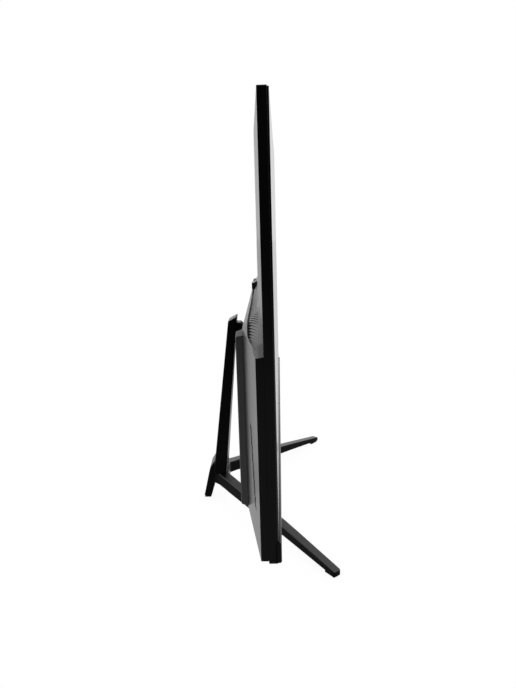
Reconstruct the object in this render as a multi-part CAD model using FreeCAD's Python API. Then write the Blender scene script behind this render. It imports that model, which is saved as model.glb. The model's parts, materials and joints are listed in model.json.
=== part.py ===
import FreeCAD, Part
import math
import os

# Slim gaming monitor on a three-legged tilt stand.
# Millimetres, +Z up, +X to the right of somebody who looks at the screen, and the screen faces -Y.
# The origin is on the table, under the middle of the box round the whole monitor.
# On the head, s is the height above the head's lower edge and t the depth behind the screen plane.

# Head outline
head_width = 614.0
head_height = 365.0
head_bottom_z = 96.0
screen_plane_y = -18.3
head_corner_radius = 1.5
active_width = 597.7
active_height = 336.2
top_border = 8.2

# Middle frame, chin and liquid crystal panel
frame_depth = 7.3
frame_wall = 2.2
frame_drop = 1.9
ledge_width = 6.0
ledge_thickness = 1.2
panel_thickness = 1.4
panel_inset = 1.5
chin_height = 17.6
chin_proud = 3.5
chin_drop = 1.0
chin_wall = 1.6

# Backlight stack, one sheet behind the other
stack_inset = 6.0
stack_gap = 0.1
film_thickness = 0.8
guide_thickness = 2.0
reflector_thickness = 0.3
tray_wall = 0.8
led_bar_height = 3.0

# Rear cover: a shallow pillow above, a deeper housing with sloping sides below
cover_wall = 2.0
cover_bottom_s = 1.0
pillow_depth = 14.0
pillow_flat_inset = 15.0
pillow_top_s = 345.0
side_depth = 13.5
side_top_s = 172.0
shelf_edge_rise = 10.9
housing_half_width = 215.0
housing_depth = 28.5
housing_top_s = 169.5
ridge_outer_s = 178.0
ridge_outer_depth = 28.3
ridge_inner_s = 183.5
ridge_inner_depth = 28.2
shelf_outer_s = 214.7
shelf_inner_s = 218.7
boss_half_width = 10.0
boss_top_s = 192.0
boss_depth = 28.2

# Raised centre block with its pocket for the mount
block_depth = 35.3
block_wall = 2.0
block_draft = 1.5
block_bottom_s = 1.4
block_top_s = 170.5
block_corner_s = 173.5
block_corner_inset = 12.0
pocket_half_width = 65.0
pocket_bottom_s = 58.0
pocket_shoulder_s = 131.0

# Vent grilles in the slanted band, and the slanted speaker slots
vent_edge_margin = 18.0
vent_inner_x = 18.0
vent_tip_lengths = (24.0, 40.0)
vent_low_shares = (0.30, 0.10, 0.09, 0.30, 0.26, 0.10)
vent_high_shares = (0.46, 0.80, 0.92, 0.92, 0.92, 0.92)
vent_recess = 1.5
vent_plate = 1.6
vent_slot_pitch = 6.3
vent_slot_width = 3.4
vent_slot_climb = 0.025
vent_border_share = 0.06
speaker_slot_count = 10
speaker_slot_margins = (31.0, 48.0)
speaker_slot_heights = (38.0, 100.0)
speaker_slot_half_length = 3.2
speaker_slot_half_width = 2.0
speaker_slot_rise = 1.9

# Mounting pattern and tilt hinge
vesa_spacing = 100.0
vesa_centre_s = 118.0
vesa_hole_radius = 2.0
insert_radius = 4.0
insert_length = 10.5
hinge_s = 130.0
hinge_t = 39.0
bracket_half_width = 30.0
bracket_half_height = 22.0
bracket_thickness = 2.5
bracket_screw_x = 22.0
bracket_screw_s = 16.0
ear_thickness = 3.0
ear_radius = 8.5
knuckle_radius = 7.5
neck_half_width = 8.0
neck_rise = 12.6
neck_drop = 13.0
neck_start = 2.5
washer_thickness = 1.0
washer_radius = 7.4
pin_radius = 4.0
pin_clearance = 0.05
pin_head_radius = 6.5
pin_head_height = 3.0
spring_washer_height = 2.0
nut_radius = 6.5
nut_height = 5.0

# Column, leaning towards the screen
column_low_z = 46.0
column_high_z = 244.0
column_rear_low_y = 65.9
column_rear_high_y = 40.5
column_front_low_y = 49.5
column_front_high_y = 30.3
column_half_width_low = 21.0
column_half_width_high = 12.0
column_top_slope = 0.49
column_wall = 2.0
column_cover_thickness = 1.6
column_cap_thickness = 2.0
core_half_width = 7.0
core_side_gap = 1.0
core_top_margin = 1.0
neck_slot_gap = 0.3

# Three-legged base
base_half_depth = 82.5
hub_rear_y = 66.2
hub_rear_half_width = 17.5
hub_waist_half_width = 21.9
hub_waist_y = 60.0
hub_web_y = 47.8
leg_angle = 38.72
leg_root_x = 38.1
leg_root_y = 47.0
leg_knee_distance = 108.0
leg_root_width = 13.4
leg_knee_width = 11.5
leg_tip_width = 9.8
leg_root_top_z = 38.0
leg_knee_top_z = 22.7
leg_tip_top_z = 7.5
leg_root_low_z = 23.4
leg_knee_low_z = 12.2
leg_edge_cut = 1.2
foot_pad_height = 2.0
foot_pad_half_width = 3.2
foot_half_width = 17.0
foot_toe_half_width = 6.0
foot_toe_length = 9.9
foot_knee_y = 73.2
foot_knee_z = 41.2
foot_shoulder_y = 71.6
foot_shoulder_z = 47.0
foot_top_z = 56.0
foot_under_z = 26.2
tongue_length = 15.0
tongue_half_width = 3.5
tongue_low_z = 27.6
tongue_high_z = 35.0
leg_screw_radius = 2.0
leg_screw_head_radius = 3.5
leg_screw_head_height = 1.8

# Captive thumb screw that holds the base to the column
thumb_y = 57.0
thumb_seat_z = 31.5
thumb_head_radius = 7.0
thumb_head_height = 5.0
thumb_pocket_gap = 0.8
thumb_shank_radius = 3.0
thumb_shank_length = 30.0
thumb_clearance = 0.4
ring_length = 10.0
ring_half_width = 6.5
ring_bar = 2.0
ring_gap = 0.6

# Boards and sockets behind the centre block
chassis_t = 10.0
chassis_thickness = 1.2
chassis_inset = 9.0
chassis_low_s = 10.0
chassis_high_s = 166.0
tower_half_width = 62.0
tower_low_s = 60.0
tower_thickness = 2.0
tower_gap = 0.2
tower_over = 7.0
board_thickness = 1.6
board_t = 18.0
board_low_s = 16.0
board_high_s = 130.0
board_inner_x = 72.0
board_inset = 23.0
post_radius = 3.0
board_screw_radius = 1.5
board_screw_head_radius = 2.8
board_screw_head_height = 1.6
socket_s = 32.0
socket_recess = 1.0
socket_wall = 0.7
socket_margin = 0.4
hdmi_size = (15.0, 5.5)
displayport_size = (16.2, 4.9)
hdmi_insets = (26.0, 52.0)
displayport_inset = 78.0
audio_inset = 100.0
audio_bore_radius = 1.75
audio_body = 8.0
dc_x = 110.0
dc_bore_radius = 2.75
dc_pin_radius = 1.05
dc_body = 11.0
socket_bore_depth = 11.0
lock_slot_size = (7.0, 3.0)
lock_slot_inset = 19.0
lock_slot_s = 64.0
lock_plate_size = (18.0, 12.0)

# Controls at the lower corner of the block
key_board_t = 22.0
key_board_low_s = 20.0
key_board_high_s = 46.0
key_board_insets = (79.0, 7.0)
control_s = 32.0
joystick_inset = 21.0
power_button_inset = 47.0
hotkey_button_inset = 67.0
button_half_length = 6.0
button_half_height = 3.0
button_proud = 1.0
button_gap = 0.25
button_travel = 0.8
button_flange = 1.2
switch_size = 6.0
switch_height = 3.4
joystick_pivot_t = 27.6
joystick_housing_half = 6.5
joystick_housing_wall = 1.0
gimbal_outer_radius = 4.4
gimbal_inner_radius = 2.6
gimbal_half_height = 1.2
stem_radius = 1.8
stem_ball_radius = 2.3
stem_pin_radius = 0.6
stem_top_t = 39.0
cap_radius = 7.0
cap_neck_radius = 3.4
cap_low_t = 33.2
cap_flange_t = 37.5
cap_high_t = 41.1
cap_bore_gap = 0.06
cap_stop_gap = 0.7
joystick_hole_radius = 5.2

# Speakers, cables and small parts
speaker_half_width = 14.0
speaker_low_s = 34.0
speaker_high_s = 104.0
speaker_depth = 9.0
speaker_cone_radius = 11.0
cable_thickness = 0.4
cable_half_width = 12.0
panel_cable_x = 110.0
panel_board_low_s = 184.0
panel_board_thickness = 1.2
supply_low_s = 37.0
wire_radius = 1.2
cover_screw_inset = 15.0
cover_screw_low_s = 15.0
cover_screw_high_s = 155.0
cover_screw_radius = 1.5
cover_screw_head_radius = 2.8
cover_screw_head_height = 2.0
cover_screw_sink = 3.2
boss_wall = 1.8
light_pipe_margin = 23.0
light_pipe_half = 1.5
light_pipe_length = 9.0

V = FreeCAD.Vector


# Helpers

def box(x0, x1, y0, y1, z0, z1):
    return Part.makeBox(x1 - x0, y1 - y0, z1 - z0, V(x0, y0, z0))


def rod(radius, start, end):
    return Part.makeCylinder(radius, (end - start).Length, start, end - start)


def tube(outer, inner, start, end):
    return rod(outer, start, end).cut(rod(inner, start, end))


def prism(points, move):
    wire = Part.makePolygon(list(points) + [points[0]])
    return Part.Face(wire).extrude(move)


def polyhedron(faces):
    shell = Part.Shell([Part.Face(Part.makePolygon(list(f) + [f[0]])) for f in faces])
    solid = Part.Solid(shell)
    if solid.Volume < 0:
        solid.reverse()
    return solid


def fuse(shapes):
    first = shapes[0]
    if len(shapes) == 1:
        return first
    return first.fuse(shapes[1:]).removeSplitter()


def group(shapes):
    return Part.makeCompound(shapes)


def mirrored(shape):
    return shape.mirror(V(0, 0, 0), V(1, 0, 0))


def both_sides(shape):
    return [shape, mirrored(shape)]


def head(x, s, t):
    return V(x, screen_plane_y + t, head_bottom_z + s)


def head_box(x0, x1, s0, s1, t0, t1):
    low = head(x0, s0, t0)
    high = head(x1, s1, t1)
    return box(low.x, high.x, low.y, high.y, low.z, high.z)


def head_rod(radius, x, s, t0, t1):
    return rod(radius, head(x, s, t0), head(x, s, t1))


def save(name, shape):
    shape.exportStep("parts/" + name + ".step")
    print(name, len(shape.Solids), "solid(s)", round(shape.Volume / 1000.0, 2), "cm3", shape.isValid())


half_width = head_width / 2.0
pillow_half_width = housing_half_width - pillow_flat_inset
block_corner_half_width = housing_half_width - block_corner_inset
vent_outer_x = half_width - vent_edge_margin
speaker_slot_low = (half_width - speaker_slot_margins[0], speaker_slot_heights[0])
speaker_slot_high = (half_width - speaker_slot_margins[1], speaker_slot_heights[1])
chassis_half_width = housing_half_width - chassis_inset
board_outer_x = housing_half_width - board_inset
hdmi_x = (hdmi_insets[0] - board_outer_x, hdmi_insets[1] - board_outer_x)
displayport_x = displayport_inset - board_outer_x
audio_x = audio_inset - board_outer_x
lock_slot_place = (housing_half_width - lock_slot_inset, lock_slot_s)
key_board_inner_x = housing_half_width - key_board_insets[0]
key_board_outer_x = housing_half_width - key_board_insets[1]
joystick_x = housing_half_width - joystick_inset
power_button_x = housing_half_width - power_button_inset
hotkey_button_x = housing_half_width - hotkey_button_inset
cover_screw_x = housing_half_width - cover_screw_inset
light_pipe_x = half_width - light_pipe_margin
leg_top_slope = (leg_root_top_z - leg_knee_top_z) / leg_knee_distance
leg_low_slope = (leg_root_low_z - leg_knee_low_z) / leg_knee_distance
leg_dir = V(-math.cos(math.radians(leg_angle)), -math.sin(math.radians(leg_angle)), 0)
leg_side = V(-leg_dir.y, leg_dir.x, 0)
leg_root = V(-leg_root_x, leg_root_y, 0)
leg_length = (leg_root_y + base_half_depth + leg_side.y * leg_tip_width) / -leg_dir.y
active_top_s = head_height - top_border
active_bottom_s = active_top_s - active_height
hinge_y = screen_plane_y + hinge_t
hinge_z = head_bottom_z + hinge_s


# Middle frame: a thin moulded rim with a ledge that carries the panel

def rim_outline(inset, bottom_s, y0, y1):
    low = head(-half_width + inset, bottom_s + inset, 0)
    high = head(half_width - inset, head_height - inset, 0)
    block = box(low.x, high.x, y0, y1, low.z, high.z)
    radius = max(head_corner_radius - inset, 0.5)
    corners = [e for e in block.Edges if abs(e.Vertexes[0].Y - e.Vertexes[1].Y) > 0.5 * (y1 - y0)]
    return block.makeFillet(radius, corners)


def make_middle_frame():
    front = screen_plane_y
    back = screen_plane_y + frame_depth
    outer = rim_outline(0.0, -frame_drop, front, back)
    room = rim_outline(frame_wall, -frame_drop, front - 1.0, back + 1.0)
    ledge_inset = (head_width - active_width) / 2.0 - 0.6
    ledge_outer = rim_outline(0.5 * frame_wall, -frame_drop, front, front + ledge_thickness)
    window = head_box(-half_width + ledge_inset, half_width - ledge_inset, active_bottom_s - 1.0,
                      active_top_s + 1.0, -1.0, ledge_thickness + 1.0)
    ledge = ledge_outer.cut(window)
    return fuse([outer.cut(room), ledge])


# Liquid crystal panel, standing a little proud of the frame

def make_screen_panel():
    return head_box(-half_width + panel_inset, half_width - panel_inset, chin_height,
                    head_height - panel_inset, -panel_thickness, 0.0)


# Chin: a shallow channel across the lower edge, with a slot for the light pipe

def make_front_chin():
    outer = head_box(-half_width, half_width, -chin_drop, chin_height, -chin_proud, 0.0)
    front_edges = []
    for edge in outer.Edges:
        middle = edge.CenterOfMass
        if abs(middle.y - (screen_plane_y - chin_proud)) < 0.01:
            front_edges.append(edge)
    outer = outer.makeFillet(1.0, front_edges)
    room = head_box(-half_width + chin_wall, half_width - chin_wall, chin_wall - chin_drop,
                    chin_height - chin_wall, -chin_proud + chin_wall, 1.0)
    pipe_slot = head_box(light_pipe_x - light_pipe_half, light_pipe_x + light_pipe_half, -5.0,
                         chin_wall + 0.5, -chin_proud + chin_wall, 0.0)
    return outer.cut(room).cut(pipe_slot)


# Backlight stack behind the panel

film_t = ledge_thickness + stack_gap
guide_t = film_t + film_thickness + stack_gap
reflector_t = guide_t + guide_thickness + stack_gap
tray_t = reflector_t + reflector_thickness + stack_gap
tray_back_t = tray_t + tray_wall
stack_half_width = half_width - stack_inset
stack_low_s = active_bottom_s - 2.0
stack_high_s = head_height - stack_inset
tray_half_width = stack_half_width + 2.0 * tray_wall + 0.3


def make_sheet(t0, thickness, low_s):
    return head_box(-stack_half_width, stack_half_width, low_s, stack_high_s, t0, t0 + thickness)


def make_led_bar():
    strip = head_box(-stack_half_width + 4.0, stack_half_width - 4.0, stack_low_s,
                     stack_low_s + led_bar_height - 1.0, guide_t, guide_t + guide_thickness)
    return strip


def make_backlight_tray():
    low = stack_low_s - tray_wall - 0.2
    high = stack_high_s + tray_wall + 0.2
    outer = head_box(-tray_half_width, tray_half_width, low, high, film_t, tray_back_t)
    room = head_box(-tray_half_width + tray_wall, tray_half_width - tray_wall, low + tray_wall,
                    high - tray_wall, film_t - 1.0, tray_t)
    return outer.cut(room)


# Rear cover: flat facets between named stations across the width

def lower_housing(inset, front_t):
    slope = inset * 1.2
    edge = half_width - inset
    knee = housing_half_width - 0.5 * inset
    mid = boss_half_width - 0.5 * inset
    low_s = cover_bottom_s + inset
    base_rise = (frame_depth - front_t) * 0.1
    stations = {}
    for sign in (-1.0, 1.0):
        stations[sign * 3] = [head(sign * edge, low_s, front_t),
                              head(sign * edge, low_s, side_depth - inset),
                              head(sign * edge, side_top_s - slope, side_depth - inset),
                              head(sign * edge, side_top_s - slope, side_depth - inset),
                              head(sign * edge, side_top_s + shelf_edge_rise - slope + base_rise, front_t)]
        stations[sign * 2] = [head(sign * knee, low_s, front_t),
                              head(sign * knee, low_s, housing_depth - inset),
                              head(sign * knee, housing_top_s - slope, housing_depth - inset),
                              head(sign * knee, ridge_outer_s - slope, ridge_outer_depth - inset),
                              head(sign * knee, shelf_outer_s - slope + base_rise, front_t)]
        stations[sign * 1] = [head(sign * mid, low_s, front_t),
                              head(sign * mid, low_s, housing_depth - inset),
                              head(sign * mid, housing_top_s - slope, housing_depth - inset),
                              head(sign * mid, ridge_inner_s - slope, ridge_inner_depth - inset),
                              head(sign * mid, shelf_inner_s - slope + base_rise, front_t)]
    faces = []
    for sign in (-1.0, 1.0):
        outer = stations[sign * 3]
        knee_line = stations[sign * 2]
        inner = stations[sign * 1]
        faces.append([outer[0], outer[1], outer[2], outer[4]])
        faces.append([outer[0], outer[1], knee_line[1], knee_line[0]])
        faces.append([outer[1], outer[2], knee_line[2], knee_line[1]])
        faces.append([outer[2], knee_line[3], knee_line[2]])
        faces.append([outer[2], outer[4], knee_line[4]])
        faces.append([outer[2], knee_line[4], knee_line[3]])
        faces.append([knee_line[0], knee_line[1], inner[1], inner[0]])
        faces.append([knee_line[1], knee_line[2], inner[2], inner[1]])
        faces.append([knee_line[2], knee_line[3], inner[3]])
        faces.append([knee_line[2], inner[3], inner[2]])
        faces.append([knee_line[3], knee_line[4], inner[4]])
        faces.append([knee_line[3], inner[4], inner[3]])
    left = stations[-1.0]
    right = stations[1.0]
    for i in range(4):
        faces.append([left[i], left[i + 1], right[i + 1], right[i]])
    front = [stations[i][0] for i in (-3.0, -2.0, -1.0, 1.0, 2.0, 3.0)]
    front += [stations[i][4] for i in (3.0, 2.0, 1.0, -1.0, -2.0, -3.0)]
    faces.append(front)
    return polyhedron(faces)


def upper_pillow(inset, front_t):
    edge = half_width - inset
    top = pillow_half_width - inset
    low_s = cover_bottom_s + inset
    high_s = head_height - inset
    slope = (pillow_depth - frame_depth) / (half_width - pillow_half_width)
    grow = (frame_depth - front_t) / slope if front_t < frame_depth else 0.0
    wide = edge + grow
    base_top = high_s + grow * 0.19
    base = [head(-wide, low_s, front_t), head(wide, low_s, front_t),
            head(wide, base_top, front_t), head(-wide, base_top, front_t)]
    crown = [head(-top, low_s, pillow_depth - inset), head(top, low_s, pillow_depth - inset),
             head(top, pillow_top_s - inset, pillow_depth - inset),
             head(-top, pillow_top_s - inset, pillow_depth - inset)]
    faces = [base, crown]
    for i in range(4):
        j = (i + 1) % 4
        faces.append([base[i], base[j], crown[j], crown[i]])
    return polyhedron(faces)


def centre_boss(inset, front_t):
    profile = [head(0, housing_top_s, front_t), head(0, boss_top_s - inset, front_t),
               head(0, boss_top_s - inset, boss_depth - inset),
               head(0, ridge_inner_s - inset, ridge_inner_depth - inset),
               head(0, housing_top_s, housing_depth - inset)]
    half = boss_half_width - inset
    points = [p + V(-half, 0, 0) for p in profile]
    return prism(points, V(2.0 * half, 0, 0))


def band_point(x, share, depth):
    knee_ratio = (half_width - x) / (half_width - housing_half_width)
    if x > housing_half_width:
        ridge_s = side_top_s + (ridge_outer_s - side_top_s) * knee_ratio
        ridge_t = side_depth + (ridge_outer_depth - side_depth) * knee_ratio
        shelf_s = side_top_s + shelf_edge_rise
        shelf_s += (shelf_outer_s - side_top_s - shelf_edge_rise) * knee_ratio
    else:
        ratio = (housing_half_width - x) / (housing_half_width - boss_half_width)
        ridge_s = ridge_outer_s + (ridge_inner_s - ridge_outer_s) * ratio
        ridge_t = ridge_outer_depth + (ridge_inner_depth - ridge_outer_depth) * ratio
        shelf_s = shelf_outer_s + (shelf_inner_s - shelf_outer_s) * ratio
    upper_t = pillow_depth
    if x > pillow_half_width:
        pillow_slope = (pillow_depth - frame_depth) / (half_width - pillow_half_width)
        upper_t = frame_depth + pillow_slope * (half_width - x)
    seam_share = (ridge_t - upper_t) / (ridge_t - frame_depth)
    part = share * seam_share
    s = ridge_s + (shelf_s - ridge_s) * part
    t = ridge_t + (frame_depth - ridge_t) * part
    run_s = shelf_s - ridge_s
    run_t = frame_depth - ridge_t
    size = math.hypot(run_s, run_t)
    return head(-x, s + depth * run_t / size, t - depth * run_s / size)


vent_stations = [vent_outer_x, vent_outer_x - vent_tip_lengths[0], vent_outer_x - vent_tip_lengths[1],
                 housing_half_width, 0.5 * (housing_half_width + vent_inner_x), vent_inner_x]


def vent_shares(x):
    # Lower and upper edge of the vent outline, which narrows to a blunt tip at the outer end
    for i in range(len(vent_stations) - 1):
        if x >= vent_stations[i + 1]:
            break
    ratio = (vent_stations[i] - x) / (vent_stations[i] - vent_stations[i + 1])
    low = vent_low_shares[i] + (vent_low_shares[i + 1] - vent_low_shares[i]) * ratio
    high = vent_high_shares[i] + (vent_high_shares[i + 1] - vent_high_shares[i]) * ratio
    return low, high


def band_block(x0, x1, low_trim, high_trim, depth0, depth1):
    # A slab that follows the slanted band between two places across the width
    faces_at = []
    for x in (x0, x1):
        low, high = vent_shares(x)
        low += low_trim
        high -= high_trim
        faces_at.append([band_point(x, low, depth0), band_point(x, high, depth0),
                         band_point(x, high, depth1), band_point(x, low, depth1)])
    a, b = faces_at
    faces = [a, b]
    for i in range(4):
        j = (i + 1) % 4
        faces.append([a[i], a[j], b[j]])
        faces.append([a[i], b[j], b[i]])
    return polyhedron(faces)


def band_slab(trim, depth0, depth1):
    slabs = []
    for outer_x, inner_x in zip(vent_stations[:-1], vent_stations[1:]):
        slabs.append(band_block(outer_x, inner_x, trim, trim, depth0, depth1))
    return fuse(slabs)


def vent_slot_run(x_low):
    # A slot climbs outwards from the lower border until it meets the upper border
    low_share = vent_shares(x_low)[0] + vent_border_share
    x = x_low
    share = low_share
    while share < vent_shares(x)[1] - vent_border_share and x < vent_outer_x - 3.0:
        x += 0.5
        share += 0.5 * vent_slot_climb
    return x, low_share, share


def make_vent_grille():
    plate = band_slab(0.0, vent_recess, vent_recess + vent_plate)
    count = int((vent_outer_x - vent_inner_x - 18.0) / vent_slot_pitch)
    slots = []
    for i in range(count):
        x_low = vent_inner_x + 6.0 + i * vent_slot_pitch
        x_high, low_share, high_share = vent_slot_run(x_low)
        half = 0.5 * vent_slot_width
        near = [band_point(x_low - half, low_share, -4.0), band_point(x_low + half, low_share, -4.0),
                band_point(x_high + half, high_share, -4.0), band_point(x_high - half, high_share, -4.0)]
        far = [band_point(x_low - half, low_share, 8.0), band_point(x_low + half, low_share, 8.0),
               band_point(x_high + half, high_share, 8.0), band_point(x_high - half, high_share, 8.0)]
        faces = []
        for quad in (near, far):
            faces.append([quad[0], quad[1], quad[2]])
            faces.append([quad[0], quad[2], quad[3]])
        for a in range(4):
            b = (a + 1) % 4
            faces.append([near[a], near[b], far[b]])
            faces.append([near[a], far[b], far[a]])
        slots.append(polyhedron(faces))
    return plate.cut(slots)


def speaker_slots():
    cutters = []
    for i in range(speaker_slot_count):
        share = i / (speaker_slot_count - 1.0)
        x = -(speaker_slot_low[0] + (speaker_slot_high[0] - speaker_slot_low[0]) * share)
        s = speaker_slot_low[1] + (speaker_slot_high[1] - speaker_slot_low[1]) * share
        corners = [head(x - speaker_slot_half_length, s - speaker_slot_rise - speaker_slot_half_width, 5.0),
                   head(x + speaker_slot_half_length, s + speaker_slot_rise - speaker_slot_half_width, 5.0),
                   head(x + speaker_slot_half_length, s + speaker_slot_rise + speaker_slot_half_width, 5.0),
                   head(x - speaker_slot_half_length, s - speaker_slot_rise + speaker_slot_half_width, 5.0)]
        cutters.append(prism(corners, V(0, 40.0, 0)))
    return cutters


def screw_places():
    return [(x, s) for x in (-cover_screw_x, cover_screw_x) for s in (cover_screw_low_s, cover_screw_high_s)]


def vesa_places():
    half = vesa_spacing / 2.0
    return [(x, vesa_centre_s + ds) for x in (-half, half) for ds in (-half, half)]


def bracket_screw_places():
    return [(x, hinge_s + ds) for x in (-bracket_screw_x, bracket_screw_x)
            for ds in (-bracket_screw_s, bracket_screw_s)]


def socket_windows(t0, t1, grow):
    windows = []
    for x in hdmi_x:
        windows.append((x, hdmi_size[0] / 2.0, hdmi_size[1] / 2.0))
    windows.append((displayport_x, displayport_size[0] / 2.0, displayport_size[1] / 2.0))
    windows.append((audio_x, audio_body / 2.0, audio_body / 2.0))
    windows.append((dc_x, dc_body / 2.0, dc_body / 2.0))
    cutters = []
    for x, half_x, half_s in windows:
        margin = socket_wall + grow
        cutters.append(head_box(x - half_x - margin, x + half_x + margin, socket_s - half_s - margin,
                                socket_s + half_s + margin, t0, t1))
    return cutters


def make_rear_cover():
    outer = fuse([lower_housing(0.0, frame_depth), upper_pillow(0.0, frame_depth),
                  centre_boss(0.0, frame_depth)])
    outline = rim_outline(0.0, cover_bottom_s, screen_plane_y, screen_plane_y + 60.0)
    outer = outer.common(outline)
    front = frame_depth - 2.0
    inner = [lower_housing(cover_wall, front), upper_pillow(cover_wall, front),
             centre_boss(cover_wall, front)]
    shell = outer
    for piece in inner:
        shell = shell.cut(piece)
    plate_end = vent_recess + vent_plate
    vents = []
    for depth0, depth1 in ((-6.0, vent_recess + 0.2), (vent_recess, plate_end),
                           (plate_end - 0.2, plate_end + 2.0)):
        vents += both_sides(band_slab(0.0, depth0, depth1))
    slots = []
    for slot in speaker_slots():
        slots += both_sides(slot)
    shell = shell.cut(vents).cut(slots)
    holes = []
    bosses = []
    wall_t = housing_depth - cover_wall
    for x, s in screw_places():
        bosses.append(head_rod(cover_screw_radius + 0.2 + boss_wall, x, s, chassis_t + chassis_thickness,
                               housing_depth))
        holes.append(head_rod(cover_screw_radius + 0.2, x, s, 0.0, 60.0))
    for x, s in vesa_places():
        holes.append(head_rod(insert_radius, x, s, 0.0, 60.0))
    for x, s in bracket_screw_places():
        holes.append(head_rod(board_screw_radius + 0.5, x, s, 0.0, 60.0))
    windows = socket_windows(wall_t - 5.0, 60.0, socket_margin)
    windows.append(head_box(key_board_inner_x + 3.0, key_board_outer_x - 3.0,
                            control_s - 9.0, control_s + 9.0, wall_t - 5.0, 60.0))
    half_lock = (lock_slot_size[0] / 2.0, lock_slot_size[1] / 2.0)
    lock_x, lock_s = lock_slot_place
    windows.append(head_box(lock_x - half_lock[0], lock_x + half_lock[0], lock_s - half_lock[1],
                            lock_s + half_lock[1], wall_t - 5.0, 60.0))
    return fuse([shell] + bosses).cut(holes + windows)


# Raised centre block, a thin tray seated on the rear cover, open round the mount pocket

def block_outline(inset, grow):
    half = housing_half_width - inset + grow
    low = block_bottom_s + inset - grow
    pocket = pocket_half_width + inset - grow
    corner = block_corner_half_width - 0.4 * inset + grow
    outline = [(-half, low), (-half, block_top_s - inset + grow), (-corner, block_corner_s - inset + grow),
               (-pocket, pocket_shoulder_s - 1.3 * inset + grow), (-pocket, pocket_bottom_s - inset + grow),
               (pocket, pocket_bottom_s - inset + grow), (pocket, pocket_shoulder_s - 1.3 * inset + grow),
               (corner, block_corner_s - inset + grow), (half, block_top_s - inset + grow), (half, low)]
    return outline


def make_block_cover():
    base = [head(x, s, housing_depth) for x, s in block_outline(0.0, 0.0)]
    crown = [head(x, s, block_depth) for x, s in block_outline(block_draft, 0.0)]
    outer = Part.makeLoft([Part.makePolygon(base + [base[0]]),
                           Part.makePolygon(crown + [crown[0]])], True, True)
    room_base = [head(x, s, housing_depth - 1.0) for x, s in block_outline(block_wall, 0.0)]
    room_top = [head(x, s, block_depth - block_wall) for x, s in block_outline(block_wall + block_draft, 0.0)]
    room = Part.makeLoft([Part.makePolygon(room_base + [room_base[0]]),
                          Part.makePolygon(room_top + [room_top[0]])], True, True)
    shell = outer.cut(room)
    bosses = []
    holes = []
    for x, s in screw_places():
        bosses.append(head_rod(cover_screw_head_radius + 0.3 + boss_wall, x, s, housing_depth,
                               block_depth - 0.5))
        holes.append(head_rod(cover_screw_radius + 0.2, x, s, 0.0, 60.0))
        holes.append(head_rod(cover_screw_head_radius + 0.3, x, s, block_depth - cover_screw_sink, 60.0))
    holes += socket_windows(0.0, 60.0, 0.1)
    for x in (power_button_x, hotkey_button_x):
        holes.append(head_box(x - button_half_length - button_gap, x + button_half_length + button_gap,
                              control_s - button_half_height - button_gap,
                              control_s + button_half_height + button_gap, 0.0, 60.0))
    holes.append(head_rod(joystick_hole_radius, joystick_x, control_s, 0.0, 60.0))
    lock_x, lock_s = lock_slot_place
    holes.append(head_box(lock_x - lock_slot_size[0] / 2.0, lock_x + lock_slot_size[0] / 2.0,
                          lock_s - lock_slot_size[1] / 2.0, lock_s + lock_slot_size[1] / 2.0, 0.0, 60.0))
    return fuse([shell] + bosses).cut(holes)


# Chassis plate: feet on the tray, a tower behind the mount, posts for the boards

def board_corners(sign):
    inner = board_inner_x + 6.0
    outer = board_outer_x - 6.0
    return [(sign * inner, board_low_s + 8.0), (sign * inner, board_high_s - 6.0),
            (sign * outer, key_board_high_s + 10.0), (sign * outer, board_high_s - 6.0)]


tower_back = housing_depth - cover_wall - tower_gap


def make_chassis_plate():
    back_t = chassis_t + chassis_thickness
    plate = head_box(-chassis_half_width, chassis_half_width, chassis_low_s, chassis_high_s,
                     chassis_t, back_t)
    solids = [plate]
    for x in (-150.0, 0.0, 150.0):
        for s in (chassis_low_s + 14.0, chassis_high_s - 16.0):
            solids.append(head_box(x - 6.0, x + 6.0, s - 6.0, s + 6.0, tray_back_t, chassis_t))
    solids.append(head_box(-tower_half_width, tower_half_width, tower_low_s, chassis_high_s + tower_over,
                           tower_back - tower_thickness, tower_back))
    for sign in (-1.0, 1.0):
        x0 = min(sign * tower_half_width, sign * (tower_half_width - tower_thickness))
        solids.append(head_box(x0, x0 + tower_thickness, tower_low_s, chassis_high_s, chassis_t, tower_back))
        for x, s in board_corners(sign):
            solids.append(head_rod(post_radius, x, s, back_t - 0.2, board_t))
    holes = []
    for x, s in screw_places():
        holes.append(head_rod(cover_screw_radius, x, s, chassis_t - 1.0, back_t + 1.0))
    tower_front = tower_back - tower_thickness
    for x, s in vesa_places():
        holes.append(head_rod(insert_radius, x, s, tower_front - 1.0, tower_back + 1.0))
    for x, s in bracket_screw_places():
        holes.append(head_rod(board_screw_radius + 0.5, x, s, tower_front - 1.0, tower_back + 1.0))
    for sign in (-1.0, 1.0):
        for x, s in board_corners(sign):
            holes.append(head_rod(board_screw_radius, x, s, back_t + 1.0, board_t + 1.0))
    reach = cable_half_width + 2.0
    drop_s = board_high_s + 14.0
    holes.append(head_box(-panel_cable_x - reach, -panel_cable_x + reach, drop_s - 3.0, drop_s + 3.0,
                          0.0, 60.0))
    return fuse(solids).cut(holes)


def make_mount_inserts():
    inserts = []
    for x, s in vesa_places():
        start = head(x, s, housing_depth - insert_length)
        inserts.append(tube(insert_radius, vesa_hole_radius, start, head(x, s, housing_depth)))
    return group(inserts)


# Boards with their larger components

def make_board(sign, blocks):
    x0 = min(sign * board_inner_x, sign * board_outer_x)
    x1 = max(sign * board_inner_x, sign * board_outer_x)
    board = head_box(x0, x1, board_low_s, board_high_s, board_t, board_t + board_thickness)
    solids = [board]
    for x, s, half_x, half_s, height in blocks:
        solids.append(head_box(x - half_x, x + half_x, s - half_s, s + half_s, board_t + board_thickness,
                               board_t + board_thickness + height))
    holes = [head_rod(board_screw_radius + 0.2, x, s, 0.0, 60.0) for x, s in board_corners(sign)]
    return fuse(solids).cut(holes)


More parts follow.
